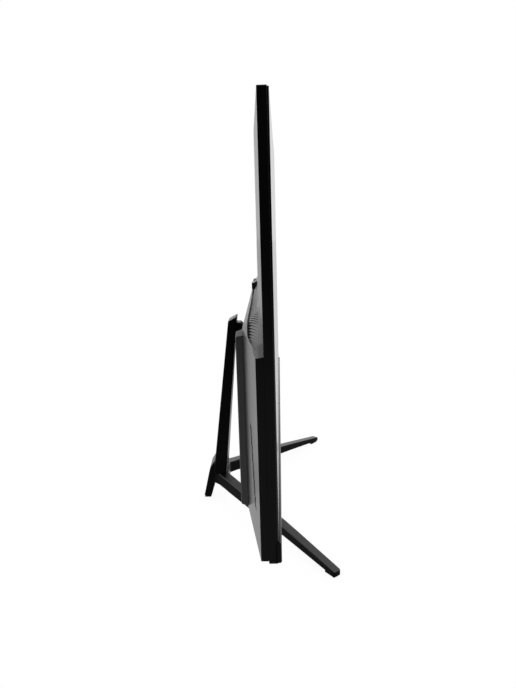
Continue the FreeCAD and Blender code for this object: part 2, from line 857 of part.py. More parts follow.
def make_main_board():
    blocks = [(-150.0, 92.0, 6.0, 8.0, 1.2), (-108.0, 64.0, 9.0, 4.0, 2.0), (-160.0, 62.0, 12.0, 3.0, 2.5)]
    return make_board(-1.0, blocks)


def make_power_board():
    blocks = [(96.0, 92.0, 9.0, 9.0, 5.0), (126.0, 96.0, 5.0, 5.0, 6.0), (126.0, 78.0, 5.0, 5.0, 6.0),
              (160.0, 92.0, 10.0, 7.0, 4.5), (100.0, 62.0, 12.0, 3.0, 3.0)]
    corner = head_box(key_board_inner_x - 2.0, board_outer_x + 1.0, 0.0, key_board_high_s + 2.0, 0.0, 60.0)
    return make_board(1.0, blocks).cut(corner)


def make_main_board_shield():
    t0 = board_t + board_thickness
    outer = head_box(-136.0, -96.0, 78.0, 116.0, t0, t0 + 5.0)
    room = head_box(-135.6, -96.4, 78.4, 115.6, t0 - 1.0, t0 + 4.6)
    return outer.cut(room)


def make_board_screws():
    screws = []
    for sign in (-1.0, 1.0):
        for x, s in board_corners(sign):
            top = board_t + board_thickness
            shank = head_rod(board_screw_radius, x, s, chassis_t + chassis_thickness + 1.0, top + 0.2)
            top_head = head_rod(board_screw_head_radius, x, s, top, top + board_screw_head_height)
            screws.append(fuse([shank, top_head]))
    return group(screws)


# Sockets that stand on the main board and reach the block's back face

socket_low_t = board_t + board_thickness
socket_high_t = block_depth - socket_recess


def make_flat_socket(x, size):
    half_x = size[0] / 2.0
    half_s = size[1] / 2.0
    outer = head_box(x - half_x - socket_wall, x + half_x + socket_wall, socket_s - half_s - socket_wall,
                     socket_s + half_s + socket_wall, socket_low_t, socket_high_t)
    mouth = head_box(x - half_x, x + half_x, socket_s - half_s, socket_s + half_s,
                     socket_high_t - socket_bore_depth, socket_high_t + 1.0)
    tongue = head_box(x - half_x + 2.2, x + half_x - 2.2, socket_s + half_s - 0.75, socket_s + half_s - 0.15,
                      socket_high_t - socket_bore_depth - 0.1, socket_high_t - 1.5)
    return fuse([outer.cut(mouth), tongue])


def make_round_socket(x, body, bore):
    half = body / 2.0
    outer = head_box(x - half, x + half, socket_s - half, socket_s + half, socket_low_t, socket_high_t)
    return outer.cut(head_rod(bore, x, socket_s, socket_high_t - socket_bore_depth, socket_high_t + 1.0))


def make_dc_inlet():
    body = make_round_socket(dc_x, dc_body, dc_bore_radius)
    pin = head_rod(dc_pin_radius, dc_x, socket_s, socket_high_t - socket_bore_depth - 0.5,
                   socket_high_t - 1.0)
    return fuse([body, pin])


def make_lock_slot_plate():
    lock_x, lock_s = lock_slot_place
    back = housing_depth - cover_wall
    plate = head_box(lock_x - lock_plate_size[0] / 2.0, lock_x + lock_plate_size[0] / 2.0,
                     lock_s - lock_plate_size[1] / 2.0, lock_s + lock_plate_size[1] / 2.0, back - 2.0, back)
    slot = head_box(lock_x - lock_slot_size[0] / 2.0, lock_x + lock_slot_size[0] / 2.0,
                    lock_s - lock_slot_size[1] / 2.0, lock_s + lock_slot_size[1] / 2.0, 0.0, 60.0)
    return plate.cut(slot)


# Controls: two push buttons and a five-way joystick over a small key board

key_board_back_t = key_board_t + board_thickness
button_low_t = key_board_back_t + switch_height + button_travel + 0.1
button_shelf_t = block_depth - block_wall


def make_key_board():
    solids = [head_box(key_board_inner_x, key_board_outer_x, key_board_low_s, key_board_high_s, key_board_t,
                       key_board_back_t)]
    for x in (power_button_x, hotkey_button_x):
        half = switch_size / 2.0
        solids.append(head_box(x - half, x + half, control_s - half, control_s + half, key_board_back_t - 0.1,
                               key_board_back_t + switch_height))
    half = joystick_housing_half
    top_t = joystick_pivot_t + gimbal_half_height + 0.6
    housing = head_box(joystick_x - half, joystick_x + half, control_s - half, control_s + half,
                       key_board_back_t - 0.1, top_t)
    room = head_rod(half - joystick_housing_wall, joystick_x, control_s, key_board_back_t + 0.6, top_t + 1.0)
    solids.append(housing.cut(room))
    for x in (key_board_inner_x + 6.0, key_board_outer_x - 6.0):
        solids.append(head_rod(post_radius, x, key_board_high_s - 5.0, chassis_t + chassis_thickness,
                               key_board_t + 0.1))
    return fuse(solids)


def make_push_button(x):
    stem = head_box(x - button_half_length, x + button_half_length, control_s - button_half_height,
                    control_s + button_half_height, button_low_t, block_depth + button_proud)
    flange_top = button_shelf_t - 0.1
    flange = head_box(x - button_half_length - button_flange, x + button_half_length + button_flange,
                      control_s - button_half_height - button_flange,
                      control_s + button_half_height + button_flange, flange_top - 1.0, flange_top)
    return fuse([stem, flange])


def make_joystick_gimbal():
    ring = tube(gimbal_outer_radius, gimbal_inner_radius,
                head(joystick_x, control_s, joystick_pivot_t - gimbal_half_height),
                head(joystick_x, control_s, joystick_pivot_t + gimbal_half_height))
    pin_reach = joystick_housing_half - joystick_housing_wall - 0.25
    pins = rod(0.7, head(joystick_x - pin_reach, control_s, joystick_pivot_t),
               head(joystick_x + pin_reach, control_s, joystick_pivot_t))
    hole = head_rod(gimbal_inner_radius, joystick_x, control_s, joystick_pivot_t - 3.0,
                    joystick_pivot_t + 3.0)
    low = head(joystick_x, control_s - 2.0 * gimbal_outer_radius, joystick_pivot_t)
    high = head(joystick_x, control_s + 2.0 * gimbal_outer_radius, joystick_pivot_t)
    bore = rod(stem_pin_radius + 0.06, low, high)
    return fuse([ring, pins.cut(hole)]).cut(bore)


def make_joystick_stem():
    ball = Part.makeSphere(stem_ball_radius, head(joystick_x, control_s, joystick_pivot_t))
    stick = head_rod(stem_radius, joystick_x, control_s, joystick_pivot_t, stem_top_t)
    reach = gimbal_outer_radius - 0.3
    pin = rod(stem_pin_radius, head(joystick_x, control_s - reach, joystick_pivot_t),
              head(joystick_x, control_s + reach, joystick_pivot_t))
    return fuse([ball, stick, pin])


def make_joystick_cap():
    neck = head_rod(cap_neck_radius, joystick_x, control_s, cap_low_t, cap_flange_t + 0.2)
    crown = head_rod(cap_radius, joystick_x, control_s, cap_flange_t, cap_high_t)
    rim = [e for e in crown.Edges if abs(e.CenterOfMass.y - (screen_plane_y + cap_high_t)) < 0.01]
    crown = crown.makeFillet(1.0, rim)
    bore = head_rod(stem_radius + cap_bore_gap, joystick_x, control_s, cap_low_t - 1.0,
                    stem_top_t + cap_stop_gap)
    dish = Part.makeSphere(20.0, head(joystick_x, control_s, cap_high_t + 19.2))
    return fuse([neck, crown]).cut(bore).cut(dish)


# Speakers behind the slanted slots

def side_t(x):
    share = (half_width - x) / (half_width - housing_half_width)
    return side_depth + (housing_depth - side_depth) * share


def make_speaker():
    middle = 0.5 * (speaker_slot_low[0] + speaker_slot_high[0]) - 4.0
    top_t = side_t(middle + speaker_half_width) - cover_wall - 0.6
    low_t = top_t - speaker_depth
    case = head_box(-middle - speaker_half_width, -middle + speaker_half_width, speaker_low_s, speaker_high_s,
                    max(low_t, tray_back_t), top_t)
    cones = []
    for s in (speaker_low_s + 18.0, speaker_high_s - 18.0):
        cones.append(head_rod(speaker_cone_radius, -middle, s, top_t - 1.2, top_t + 1.0))
    return case.cut(cones)


# Cables inside the head, each one flat or round run between two boards

def make_panel_cable():
    x0 = -panel_cable_x - cable_half_width
    x1 = -panel_cable_x + cable_half_width
    high_t = board_t + board_thickness
    low_t = tray_back_t + panel_board_thickness
    drop_s = board_high_s + 14.0
    on_board = head_box(x0, x1, board_high_s - 6.0, drop_s, high_t, high_t + cable_thickness)
    drop = head_box(x0, x1, drop_s - cable_thickness, drop_s, low_t, high_t + cable_thickness)
    on_panel = head_box(x0, x1, drop_s - cable_thickness, panel_board_low_s + 6.0, low_t,
                        low_t + cable_thickness)
    return fuse([on_board, drop, on_panel])


def make_supply_cable():
    t = board_t + board_thickness + wire_radius
    wires = []
    for i in range(4):
        height = supply_low_s + i * 2.0 * (wire_radius + 0.1)
        reach = board_inner_x + 6.0
        wires.append(rod(wire_radius, head(-reach, height, t), head(reach, height, t)))
    return group(wires)


def make_speaker_wires():
    wires = []
    for sign in (-1.0, 1.0):
        start = head(sign * (half_width - 55.0), 108.0, tray_back_t + 2.0)
        end = head(sign * (board_outer_x - 8.0), 108.0, tray_back_t + 2.0)
        level = rod(wire_radius, start, end)
        rise = rod(wire_radius, end, head(sign * (board_outer_x - 8.0), 108.0, chassis_t))
        wires.append(fuse([level, rise]))
    return group(wires)


def make_key_cable():
    s0 = key_board_high_s - 4.0
    x0 = hotkey_button_x + 4.0
    return head_box(x0, x0 + 10.0, s0, s0 + 24.0, key_board_t - cable_thickness, key_board_t)


def make_panel_board():
    return head_box(-panel_cable_x - 20.0, -panel_cable_x + 100.0, panel_board_low_s,
                    panel_board_low_s + 10.0, tray_back_t, tray_back_t + panel_board_thickness)


def make_panel_driver_board():
    reach = half_width - 27.0
    return head_box(-reach, reach, 3.0, 15.0, ledge_thickness + 0.2, ledge_thickness + 1.4)


def make_power_light_pipe():
    return head_box(light_pipe_x - light_pipe_half, light_pipe_x + light_pipe_half, 0.0,
                    light_pipe_length, -chin_proud + chin_wall, -0.2)


def make_cover_screws():
    screws = []
    for x, s in screw_places():
        seat = block_depth - cover_screw_sink
        shank = head_rod(cover_screw_radius, x, s, chassis_t - 0.5, seat + 0.2)
        top_head = head_rod(cover_screw_head_radius, x, s, seat, seat + cover_screw_head_height)
        screws.append(fuse([shank, top_head]))
    return group(screws)


# Tilt hinge: a bracket with two ears on the head, a knuckle between them on the neck

ear_inner_x = neck_half_width + washer_thickness
ear_outer_x = ear_inner_x + ear_thickness


def make_hinge_bracket():
    t0 = housing_depth
    t1 = housing_depth + bracket_thickness
    solids = [head_box(-bracket_half_width, bracket_half_width, hinge_s - bracket_half_height,
                       hinge_s + bracket_half_height, t0, t1)]
    for sign in (-1.0, 1.0):
        x0 = min(sign * ear_inner_x, sign * ear_outer_x)
        x1 = x0 + ear_thickness
        solids.append(head_box(x0, x1, hinge_s - ear_radius, hinge_s + ear_radius, t0, hinge_t))
        solids.append(rod(ear_radius, head(x0, hinge_s, hinge_t), head(x1, hinge_s, hinge_t)))
    bore = rod(pin_radius + pin_clearance, head(-40.0, hinge_s, hinge_t), head(40.0, hinge_s, hinge_t))
    holes = [head_rod(board_screw_radius + 0.5, x, s, 0.0, 60.0) for x, s in bracket_screw_places()]
    return fuse(solids).cut(holes + [bore])


def make_hinge_screws():
    screws = []
    for x, s in bracket_screw_places():
        seat = housing_depth + bracket_thickness
        shank = head_rod(board_screw_radius + 0.4, x, s, housing_depth - cover_wall - tower_thickness - 3.0,
                         seat + 0.2)
        top_head = head_rod(3.5, x, s, seat, seat + 2.2)
        screws.append(fuse([shank, top_head]))
    return group(screws)


def make_tilt_pin():
    start_x = ear_outer_x + spring_washer_height
    end_x = ear_outer_x + spring_washer_height + nut_height
    shaft = rod(pin_radius, V(-start_x, hinge_y, hinge_z), V(end_x, hinge_y, hinge_z))
    cap = rod(pin_head_radius, V(-start_x - pin_head_height, hinge_y, hinge_z), V(-start_x, hinge_y, hinge_z))
    return fuse([shaft, cap])


def make_friction_washers():
    washers = []
    gap = 0.05
    for sign in (-1.0, 1.0):
        washers.append(tube(washer_radius, pin_radius + pin_clearance,
                            V(sign * (neck_half_width + gap), hinge_y, hinge_z),
                            V(sign * (ear_inner_x - gap), hinge_y, hinge_z)))
    return group(washers)


def make_disc_springs():
    discs = []
    for sign in (-1.0, 1.0):
        discs.append(tube(pin_head_radius - 0.3, pin_radius + pin_clearance,
                          V(sign * (ear_outer_x + 0.1), hinge_y, hinge_z),
                          V(sign * (ear_outer_x + spring_washer_height), hinge_y, hinge_z)))
    return group(discs)


def make_hinge_nut():
    start = V(ear_outer_x + spring_washer_height, hinge_y, hinge_z)
    along = V(nut_height, 0, 0)
    points = []
    for i in range(6):
        angle = math.radians(60.0 * i)
        points.append(start + V(0, nut_radius * math.cos(angle), nut_radius * math.sin(angle)))
    return prism(points, along).cut(rod(pin_radius, start, start + along))


# The left leg's line: distance runs from its root to its tip, width from its outer side inwards

def leg_point(distance, width, z):
    return leg_root + leg_dir * distance + leg_side * width + V(0, 0, z)


def leg_wedge(low_z, low_slope, top_z, top_slope):
    # The space between two planes that fall along the left leg
    back = -90.0
    ahead = 30.0
    far = -60.0
    points = [leg_point(back, far, low_z - low_slope * back),
              leg_point(ahead, far, low_z - low_slope * ahead),
              leg_point(ahead, far, top_z - top_slope * ahead),
              leg_point(back, far, top_z - top_slope * back)]
    return prism(points, leg_side * 140.0)


def make_under_hub_top():
    # All that lies under the two sloping top faces of the hub, which meet over x = 0
    left = leg_wedge(0.0, 0.0, leg_root_top_z, leg_top_slope).common(box(-60.0, 0.0, 20.0, 90.0, 0.0, 80.0))
    return fuse(both_sides(left))


# Column: four leaning faces, closed by a slanted top and standing on the sloping hub

rear_lean = (column_rear_high_y - column_rear_low_y) / (column_high_z - column_low_z)
front_lean = (column_front_high_y - column_front_low_y) / (column_high_z - column_low_z)
side_taper = (column_half_width_high - column_half_width_low) / (column_high_z - column_low_z)


def column_corner(low_y, lean, inset_y, side, inset_x, plane_z, plane_slope):
    # Where a leaning face line meets a sloping plane z = plane_z + plane_slope * y
    start = low_y + inset_y - lean * column_low_z
    z = (plane_z + plane_slope * start) / (1.0 - plane_slope * lean)
    y = start + lean * z
    x = side * (column_half_width_low + side_taper * (z - column_low_z) - inset_x)
    return V(x, y, z)


def column_block(rear_inset, front_inset, side_inset, low_plane, high_plane):
    rings = []
    for plane_z, plane_slope in (low_plane, high_plane):
        ring = []
        for low_y, lean, inset_y, side in ((column_rear_low_y, rear_lean, -rear_inset, -1.0),
                                           (column_rear_low_y, rear_lean, -rear_inset, 1.0),
                                           (column_front_low_y, front_lean, front_inset, 1.0),
                                           (column_front_low_y, front_lean, front_inset, -1.0)):
            ring.append(column_corner(low_y, lean, inset_y, side, side_inset, plane_z, plane_slope))
        rings.append(ring)
    low, high = rings
    faces = [low, high]
    for i in range(4):
        j = (i + 1) % 4
        faces.append([low[i], low[j], high[j], high[i]])
    return polyhedron(faces)


column_top_z = column_high_z + column_top_slope * 0.5 * (column_rear_high_y + column_front_high_y)
column_foot_plane = (leg_root_top_z - 2.0, 0.0)
top_plane = (column_top_z, -column_top_slope)
under_cap_plane = (column_top_z - column_cap_thickness, -column_top_slope)
flat_low_plane = (20.0, 0.0)
open_top_plane = (2.0 * column_high_z, 0.0)


def make_neck_slot():
    gap = neck_slot_gap
    return box(-neck_half_width - gap, neck_half_width + gap, 0.0, neck_seat_y,
               hinge_z - neck_drop - gap, hinge_z + neck_rise + gap)


def make_column_shell():
    outer = column_block(0.0, column_cover_thickness, 0.0, column_foot_plane, under_cap_plane)
    room = column_block(column_wall, -5.0, column_wall, flat_low_plane, open_top_plane)
    return outer.cut([room, make_under_hub_top()])


def make_column_front_cover():
    outer = column_block(0.0, 0.0, 0.0, column_foot_plane, under_cap_plane)
    keep = column_block(-10.0, column_cover_thickness, -10.0, flat_low_plane, open_top_plane)
    return outer.cut([keep, make_neck_slot(), make_under_hub_top()])


def make_column_top_cap():
    return column_block(0.0, 0.0, 0.0, under_cap_plane, top_plane)


neck_seat_y = column_front_low_y + front_lean * (hinge_z - column_low_z) + column_cover_thickness + 2.4


def neck_screw_places():
    places = []
    for z in (hinge_z - 6.0, hinge_z + 6.0):
        places.append((column_rear_low_y + rear_lean * (z - column_low_z) - column_wall - 2.2, z))
    return places


def make_column_core():
    inset = column_wall + core_side_gap
    core = column_block(inset, column_cover_thickness + core_side_gap, 0.0, column_foot_plane,
                        (hinge_z + neck_rise + core_top_margin, 0.0))
    core = core.common(box(-core_half_width, core_half_width, 0.0, 100.0, 0.0, 400.0))
    cutters = [rod(thumb_shank_radius, V(0, thumb_y, 0), V(0, thumb_y, thumb_seat_z + thumb_shank_length))]
    cutters.append(make_under_hub_top())
    cutters.append(box(-core_half_width - 1.0, core_half_width + 1.0, 0.0, neck_seat_y,
                       hinge_z - neck_drop - neck_slot_gap, hinge_z + neck_rise + neck_slot_gap))
    for seat_y, z in neck_screw_places():
        cutters.append(rod(1.6, V(0, 0, z), V(0, seat_y, z)))
        cutters.append(rod(2.7, V(0, seat_y, z), V(0, 100.0, z)))
    return core.cut(cutters)


def make_neck_arm():
    knuckle = rod(knuckle_radius, V(-neck_half_width, hinge_y, hinge_z), V(neck_half_width, hinge_y, hinge_z))
    root = hinge_y + neck_start
    profile = [(neck_seat_y, hinge_z - neck_drop), (neck_seat_y, hinge_z + neck_rise),
               (root + 2.0, hinge_z + neck_rise), (root, hinge_z + neck_rise - 3.0), (root, hinge_z),
               (root, hinge_z - neck_drop + 6.0), (root + 4.0, hinge_z - neck_drop)]
    arm = prism([V(-neck_half_width, y, z) for y, z in profile], V(2.0 * neck_half_width, 0, 0))
    cutters = [rod(pin_radius, V(-20.0, hinge_y, hinge_z), V(20.0, hinge_y, hinge_z))]
    for seat_y, z in neck_screw_places():
        cutters.append(rod(1.3, V(0, neck_seat_y - 5.0, z), V(0, neck_seat_y + 1.0, z)))
    return fuse([knuckle, arm]).cut(cutters)


def make_neck_screws():
    screws = []
    for seat_y, z in neck_screw_places():
        shank = rod(1.3, V(0, neck_seat_y - 4.5, z), V(0, seat_y + 0.2, z))
        top_head = rod(2.4, V(0, seat_y, z), V(0, seat_y + 1.4, z))
        screws.append(fuse([shank, top_head]))
    return group(screws)


# Base: hub, two long front legs and a short rear foot

def leg_section(distance, width, low_z, top_z):
    cut = leg_edge_cut
    points = [leg_point(distance, 0.0, low_z), leg_point(distance, 0.0, top_z - cut),
              leg_point(distance, cut, top_z), leg_point(distance, width - cut, top_z),
              leg_point(distance, width, top_z - cut), leg_point(distance, width, low_z)]
    return Part.makePolygon(points + [points[0]])


def make_left_leg():
    sections = [leg_section(0.0, leg_root_width, leg_root_low_z, leg_root_top_z),
                leg_section(leg_knee_distance, leg_knee_width, leg_knee_low_z, leg_knee_top_z),
                leg_section(leg_length, leg_tip_width, foot_pad_height, leg_tip_top_z)]
    body = Part.makeLoft(sections, True, True)
    return fuse([body, make_tongue(0.0)]).cut(make_leg_screw(0.0, leg_screw_radius))


def tongue_centre():
    return leg_point(0.0, 0.5 * leg_root_width, 0.0)


def make_tongue(gap):
    root = tongue_centre()
    half = tongue_half_width + gap
    back = root - leg_dir * (tongue_length + gap)
    ahead = root + leg_dir * 3.0
    wide = leg_side * half
    corners = [back - wide, ahead - wide, ahead + wide, back + wide]
    low = V(0, 0, tongue_low_z - gap)
    return prism([c + low for c in corners], V(0, 0, tongue_high_z - tongue_low_z + 2.0 * gap))


def leg_screw_place():
    return tongue_centre() - leg_dir * (tongue_length * 0.55)


def leg_screw_seat_z():
    return leg_root_low_z + leg_low_slope * tongue_length * 0.55 + leg_screw_head_height + 0.6


def make_leg_screw(low_extra, radius):
    place = leg_screw_place()
    low_z = tongue_low_z - 6.0 - low_extra
    return rod(radius, V(place.x, place.y, low_z), V(place.x, place.y, tongue_high_z + 2.0))


def make_leg_screws():
    screws = []
    place = leg_screw_place()
    seat = leg_screw_seat_z()
    shank = rod(leg_screw_radius, V(place.x, place.y, seat - 0.2), V(place.x, place.y, tongue_high_z + 1.0))
    top_head = rod(leg_screw_head_radius, V(place.x, place.y, seat - leg_screw_head_height),
                   V(place.x, place.y, seat))
    screws += both_sides(fuse([shank, top_head]))
    return group(screws)


def make_hub_blank():
    outer = leg_point(0.0, 0.0, 0.0)
    inner = leg_point(0.0, leg_root_width, 0.0)
    web_x = inner.x + (hub_web_y - inner.y) * leg_dir.x / leg_dir.y
    plan = [(0.0, hub_rear_y), (-hub_rear_half_width, hub_rear_y), (-hub_waist_half_width, hub_waist_y),
            (outer.x, outer.y), (inner.x, inner.y), (web_x, hub_web_y), (0.0, hub_web_y)]
    half = prism([V(x, y, 0.0) for x, y in plan], V(0, 0, 80.0))
    half = half.common(leg_wedge(leg_root_low_z, leg_low_slope, leg_root_top_z, leg_top_slope))
    return fuse(both_sides(half))


def make_base_hub():
    cutters = both_sides(make_tongue(0.1))
    for shank in both_sides(make_leg_screw(10.0, leg_screw_radius + 0.1)):
        cutters.append(shank)
    place = leg_screw_place()
    seat = leg_screw_seat_z()
    pocket = rod(leg_screw_head_radius + 0.3, V(place.x, place.y, -10.0), V(place.x, place.y, seat))
    cutters += both_sides(pocket)
    cutters.append(rod(thumb_shank_radius + thumb_clearance, V(0, thumb_y, 0), V(0, thumb_y, 80.0)))
    cutters.append(rod(thumb_head_radius + thumb_pocket_gap, V(0, thumb_y, 0), V(0, thumb_y, thumb_seat_z)))
    return make_hub_blank().cut(cutters)


def make_rear_foot():
    toe_rear = base_half_depth
    toe_front = base_half_depth - foot_toe_length
    rear_at_top = column_rear_low_y + rear_lean * (foot_top_z - column_low_z)
    profile = [(hub_rear_y, foot_under_z), (hub_rear_y, column_low_z - 2.0), (rear_at_top - 1.0, foot_top_z),
               (rear_at_top + 1.3, foot_top_z), (foot_shoulder_y, foot_shoulder_z),
               (foot_knee_y, foot_knee_z), (toe_rear, foot_pad_height), (toe_front, foot_pad_height),
               (toe_front - 4.3, 16.6), (toe_front - 5.6, 20.5)]
    body = prism([V(-60.0, y, z) for y, z in profile], V(120.0, 0, 0))
    front_view = [(-foot_toe_half_width, foot_pad_height), (foot_toe_half_width, foot_pad_height),
                  (foot_half_width, column_low_z - 2.0), (foot_half_width, foot_top_z),
                  (-foot_half_width, foot_top_z), (-foot_half_width, column_low_z - 2.0)]
    body = body.common(prism([V(x, 0.0, z) for x, z in front_view], V(0, 120.0, 0)))
    column = column_block(0.0, 0.0, 0.0, flat_low_plane, top_plane)
    return body.cut(column)


def leg_under_z(distance):
    share = (distance - leg_knee_distance) / (leg_length - leg_knee_distance)
    return leg_knee_low_z + (foot_pad_height - leg_knee_low_z) * share


def pad_section(distance):
    middle = 0.5 * leg_tip_width
    points = []
    for width, z in ((middle - foot_pad_half_width, 0.0), (middle + foot_pad_half_width, 0.0),
                     (middle + foot_pad_half_width, leg_under_z(distance)),
                     (middle - foot_pad_half_width, leg_under_z(distance))):
        points.append(leg_point(distance, width, z))
    return Part.makePolygon(points + [points[0]])


def make_rubber_feet():
    pad = Part.makeLoft([pad_section(leg_length - 16.0), pad_section(leg_length - 2.0)], True, True)
    pads = both_sides(pad)
    rear = base_half_depth - 1.0
    front = base_half_depth - foot_toe_length + 1.0
    pads.append(box(-foot_toe_half_width + 1.0, foot_toe_half_width - 1.0, front, rear, 0.0, foot_pad_height))
    return group(pads)


# Thumb screw with a folding ring under the hub

ring_axis_z = thumb_seat_z - thumb_head_height - ring_bar / 2.0 - ring_gap
ring_y = thumb_y - 4.0


def make_base_screw():
    low_z = thumb_seat_z - thumb_head_height
    knob = rod(thumb_head_radius, V(0, thumb_y, low_z), V(0, thumb_y, thumb_seat_z - 0.1))
    shank = rod(thumb_shank_radius, V(0, thumb_y, thumb_seat_z - 0.2),
                V(0, thumb_y, thumb_seat_z + thumb_shank_length - 1.0))
    ears = []
    for sign in (-1.0, 1.0):
        x0 = min(sign * 2.2, sign * 4.2)
        ears.append(box(x0, x0 + 2.0, ring_y - 2.0, ring_y + 2.0, ring_axis_z - 1.7, low_z + 0.1))
    bore = rod(ring_bar / 2.0 + 0.1, V(-10.0, ring_y, ring_axis_z), V(10.0, ring_y, ring_axis_z))
    return fuse([knob, shank] + ears).cut(bore)


def make_screw_ring():
    half = ring_bar / 2.0
    side = ring_half_width - ring_bar
    low_z = ring_axis_z + half - ring_length
    outer = box(-ring_half_width, ring_half_width, ring_y - half, ring_y + half, low_z, ring_axis_z + half)
    inner = box(-side, side, ring_y - 5.0, ring_y + 5.0, low_z + ring_bar, ring_axis_z + 5.0)
    bar = rod(half, V(-side - half, ring_y, ring_axis_z), V(side + half, ring_y, ring_axis_z))
    return fuse([outer.cut(inner), bar])


# Every piece, in the order in which it goes together

vent_left = make_vent_grille()
speaker_left = make_speaker()
left_leg = make_left_leg()

pieces = {
    "middle_frame": make_middle_frame(),
    "front_chin": make_front_chin(),
    "screen_panel": make_screen_panel(),
    "film_stack": make_sheet(film_t, film_thickness, stack_low_s),
    "light_guide_plate": make_sheet(guide_t, guide_thickness, stack_low_s + led_bar_height),
    "reflector_sheet": make_sheet(reflector_t, reflector_thickness, stack_low_s),
    "led_bar": make_led_bar(),
    "backlight_tray": make_backlight_tray(),
    "panel_driver_board": make_panel_driver_board(),
    "panel_board": make_panel_board(),
    "rear_cover": make_rear_cover(),
    "block_cover": make_block_cover(),
    "vent_grille_left": vent_left,
    "vent_grille_right": mirrored(vent_left),
    "chassis_plate": make_chassis_plate(),
    "mount_inserts": make_mount_inserts(),
    "main_board": make_main_board(),
    "main_board_shield": make_main_board_shield(),
    "power_board": make_power_board(),
    "board_screws": make_board_screws(),
    "hdmi_socket_1": make_flat_socket(hdmi_x[0], hdmi_size),
    "hdmi_socket_2": make_flat_socket(hdmi_x[1], hdmi_size),
    "displayport_socket": make_flat_socket(displayport_x, displayport_size),
    "audio_jack": make_round_socket(audio_x, audio_body, audio_bore_radius),
    "dc_inlet": make_dc_inlet(),
    "lock_slot_plate": make_lock_slot_plate(),
    "key_board": make_key_board(),
    "power_button": make_push_button(power_button_x),
    "hotkey_button": make_push_button(hotkey_button_x),
    "joystick_gimbal": make_joystick_gimbal(),
    "joystick_stem": make_joystick_stem(),
    "joystick_cap": make_joystick_cap(),
    "speaker_left": speaker_left,
    "speaker_right": mirrored(speaker_left),
    "panel_cable": make_panel_cable(),
    "supply_cable": make_supply_cable(),
    "speaker_wires": make_speaker_wires(),
    "key_cable": make_key_cable(),
    "power_light_pipe": make_power_light_pipe(),
    "cover_screws": make_cover_screws(),
    "hinge_bracket": make_hinge_bracket(),
    "hinge_screws": make_hinge_screws(),
    "tilt_pin": make_tilt_pin(),
    "friction_washers": make_friction_washers(),
    "disc_springs": make_disc_springs(),
    "hinge_nut": make_hinge_nut(),
    "neck_arm": make_neck_arm(),
    "neck_screws": make_neck_screws(),
    "column_core": make_column_core(),
    "column_shell": make_column_shell(),
    "column_front_cover": make_column_front_cover(),
    "column_top_cap": make_column_top_cap(),
    "base_hub": make_base_hub(),
    "left_leg": left_leg,
    "right_leg": mirrored(left_leg),
    "rear_foot": make_rear_foot(),
    "leg_screws": make_leg_screws(),
    "rubber_feet": make_rubber_feet(),
    "base_screw": make_base_screw(),
    "screw_ring": make_screw_ring(),
}

for name, shape in pieces.items():
    save(name, shape)

whole = Part.makeCompound(list(pieces.values())).BoundBox
print("box", round(whole.XMin, 2), round(whole.XMax, 2), round(whole.YMin, 2), round(whole.YMax, 2),
      round(whole.ZMin, 2), round(whole.ZMax, 2))
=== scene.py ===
# %% [markdown]
# # A slim gaming monitor on a three-legged stand
# The solids already exist as a frame of true size. This lesson dresses them: every surface that is
# seen gets rounded edges and a finish. Sizes are in millimetres, and the last step into Blender
# turns them into metres.

# %% Load the frame
import json
import math

import bmesh
import bpy
import numpy as np
from mathutils import Matrix, Vector


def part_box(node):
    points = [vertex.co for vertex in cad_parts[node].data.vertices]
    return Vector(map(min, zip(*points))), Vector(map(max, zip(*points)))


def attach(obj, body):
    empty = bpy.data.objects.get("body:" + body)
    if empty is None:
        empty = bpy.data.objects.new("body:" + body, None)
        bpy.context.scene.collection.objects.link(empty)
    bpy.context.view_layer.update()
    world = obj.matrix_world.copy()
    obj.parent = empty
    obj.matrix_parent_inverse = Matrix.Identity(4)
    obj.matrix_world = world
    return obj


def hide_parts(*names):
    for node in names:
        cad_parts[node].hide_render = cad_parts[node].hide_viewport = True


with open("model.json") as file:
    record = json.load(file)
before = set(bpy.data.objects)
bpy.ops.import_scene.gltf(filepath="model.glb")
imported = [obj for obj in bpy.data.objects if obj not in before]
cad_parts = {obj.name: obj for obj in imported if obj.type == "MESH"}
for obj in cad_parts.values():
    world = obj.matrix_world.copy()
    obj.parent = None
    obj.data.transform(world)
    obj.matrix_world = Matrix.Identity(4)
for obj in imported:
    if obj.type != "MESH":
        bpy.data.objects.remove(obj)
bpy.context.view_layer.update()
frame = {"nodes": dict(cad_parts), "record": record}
MM = 0.001

# %% [markdown]
# On the head a point has three numbers: x along the width, s up from the lower edge, and t behind
# the screen plane. The main sizes could be typed again, but then they might drift apart from the
# solids, so they are read from the boxes of the frame's nodes.

# %% Measures of the head


def corners_of(title):
    """The lowest and the highest corner of a node's box, in millimetres to a hundredth."""
    return np.round(np.array([list(corner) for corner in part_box(title)]) / MM, 2)


(_, screen_plane_y, rim_bottom_z), (head_half, rim_back_y, head_top_z) = corners_of("middle_frame")
rim_drop = 1.9
head_bottom_z = rim_bottom_z + rim_drop
head_height = head_top_z - head_bottom_z
frame_depth = round(rim_back_y - screen_plane_y, 2)


def on_head(x, s, t):
    """Places x, s and t in the frame: t behind the screen plane, s above the lower edge."""
    x, s, t = np.broadcast_arrays(np.asarray(x, float), np.asarray(s, float), np.asarray(t, float))
    return np.stack([x, screen_plane_y + t, head_bottom_z + s], -1)


def head_box(title):
    """A node's box in the head's own numbers: the lowest x, s and t, then the highest."""
    x, y, z = corners_of(title).T
    return np.round(np.stack([x, z - head_bottom_z, y - screen_plane_y], 1), 2)


print("head", 2 * head_half, "x", head_height, "mm")

# %% [markdown]
# The camera stands off the screen's edge, a little above the middle, and looks down by 13 degrees.
# A hand-held camera is never quite level, so it also has a small roll. Its matrix could come from
# a constraint that tracks a point, but three arrows, to the right, up and back, say it exactly.

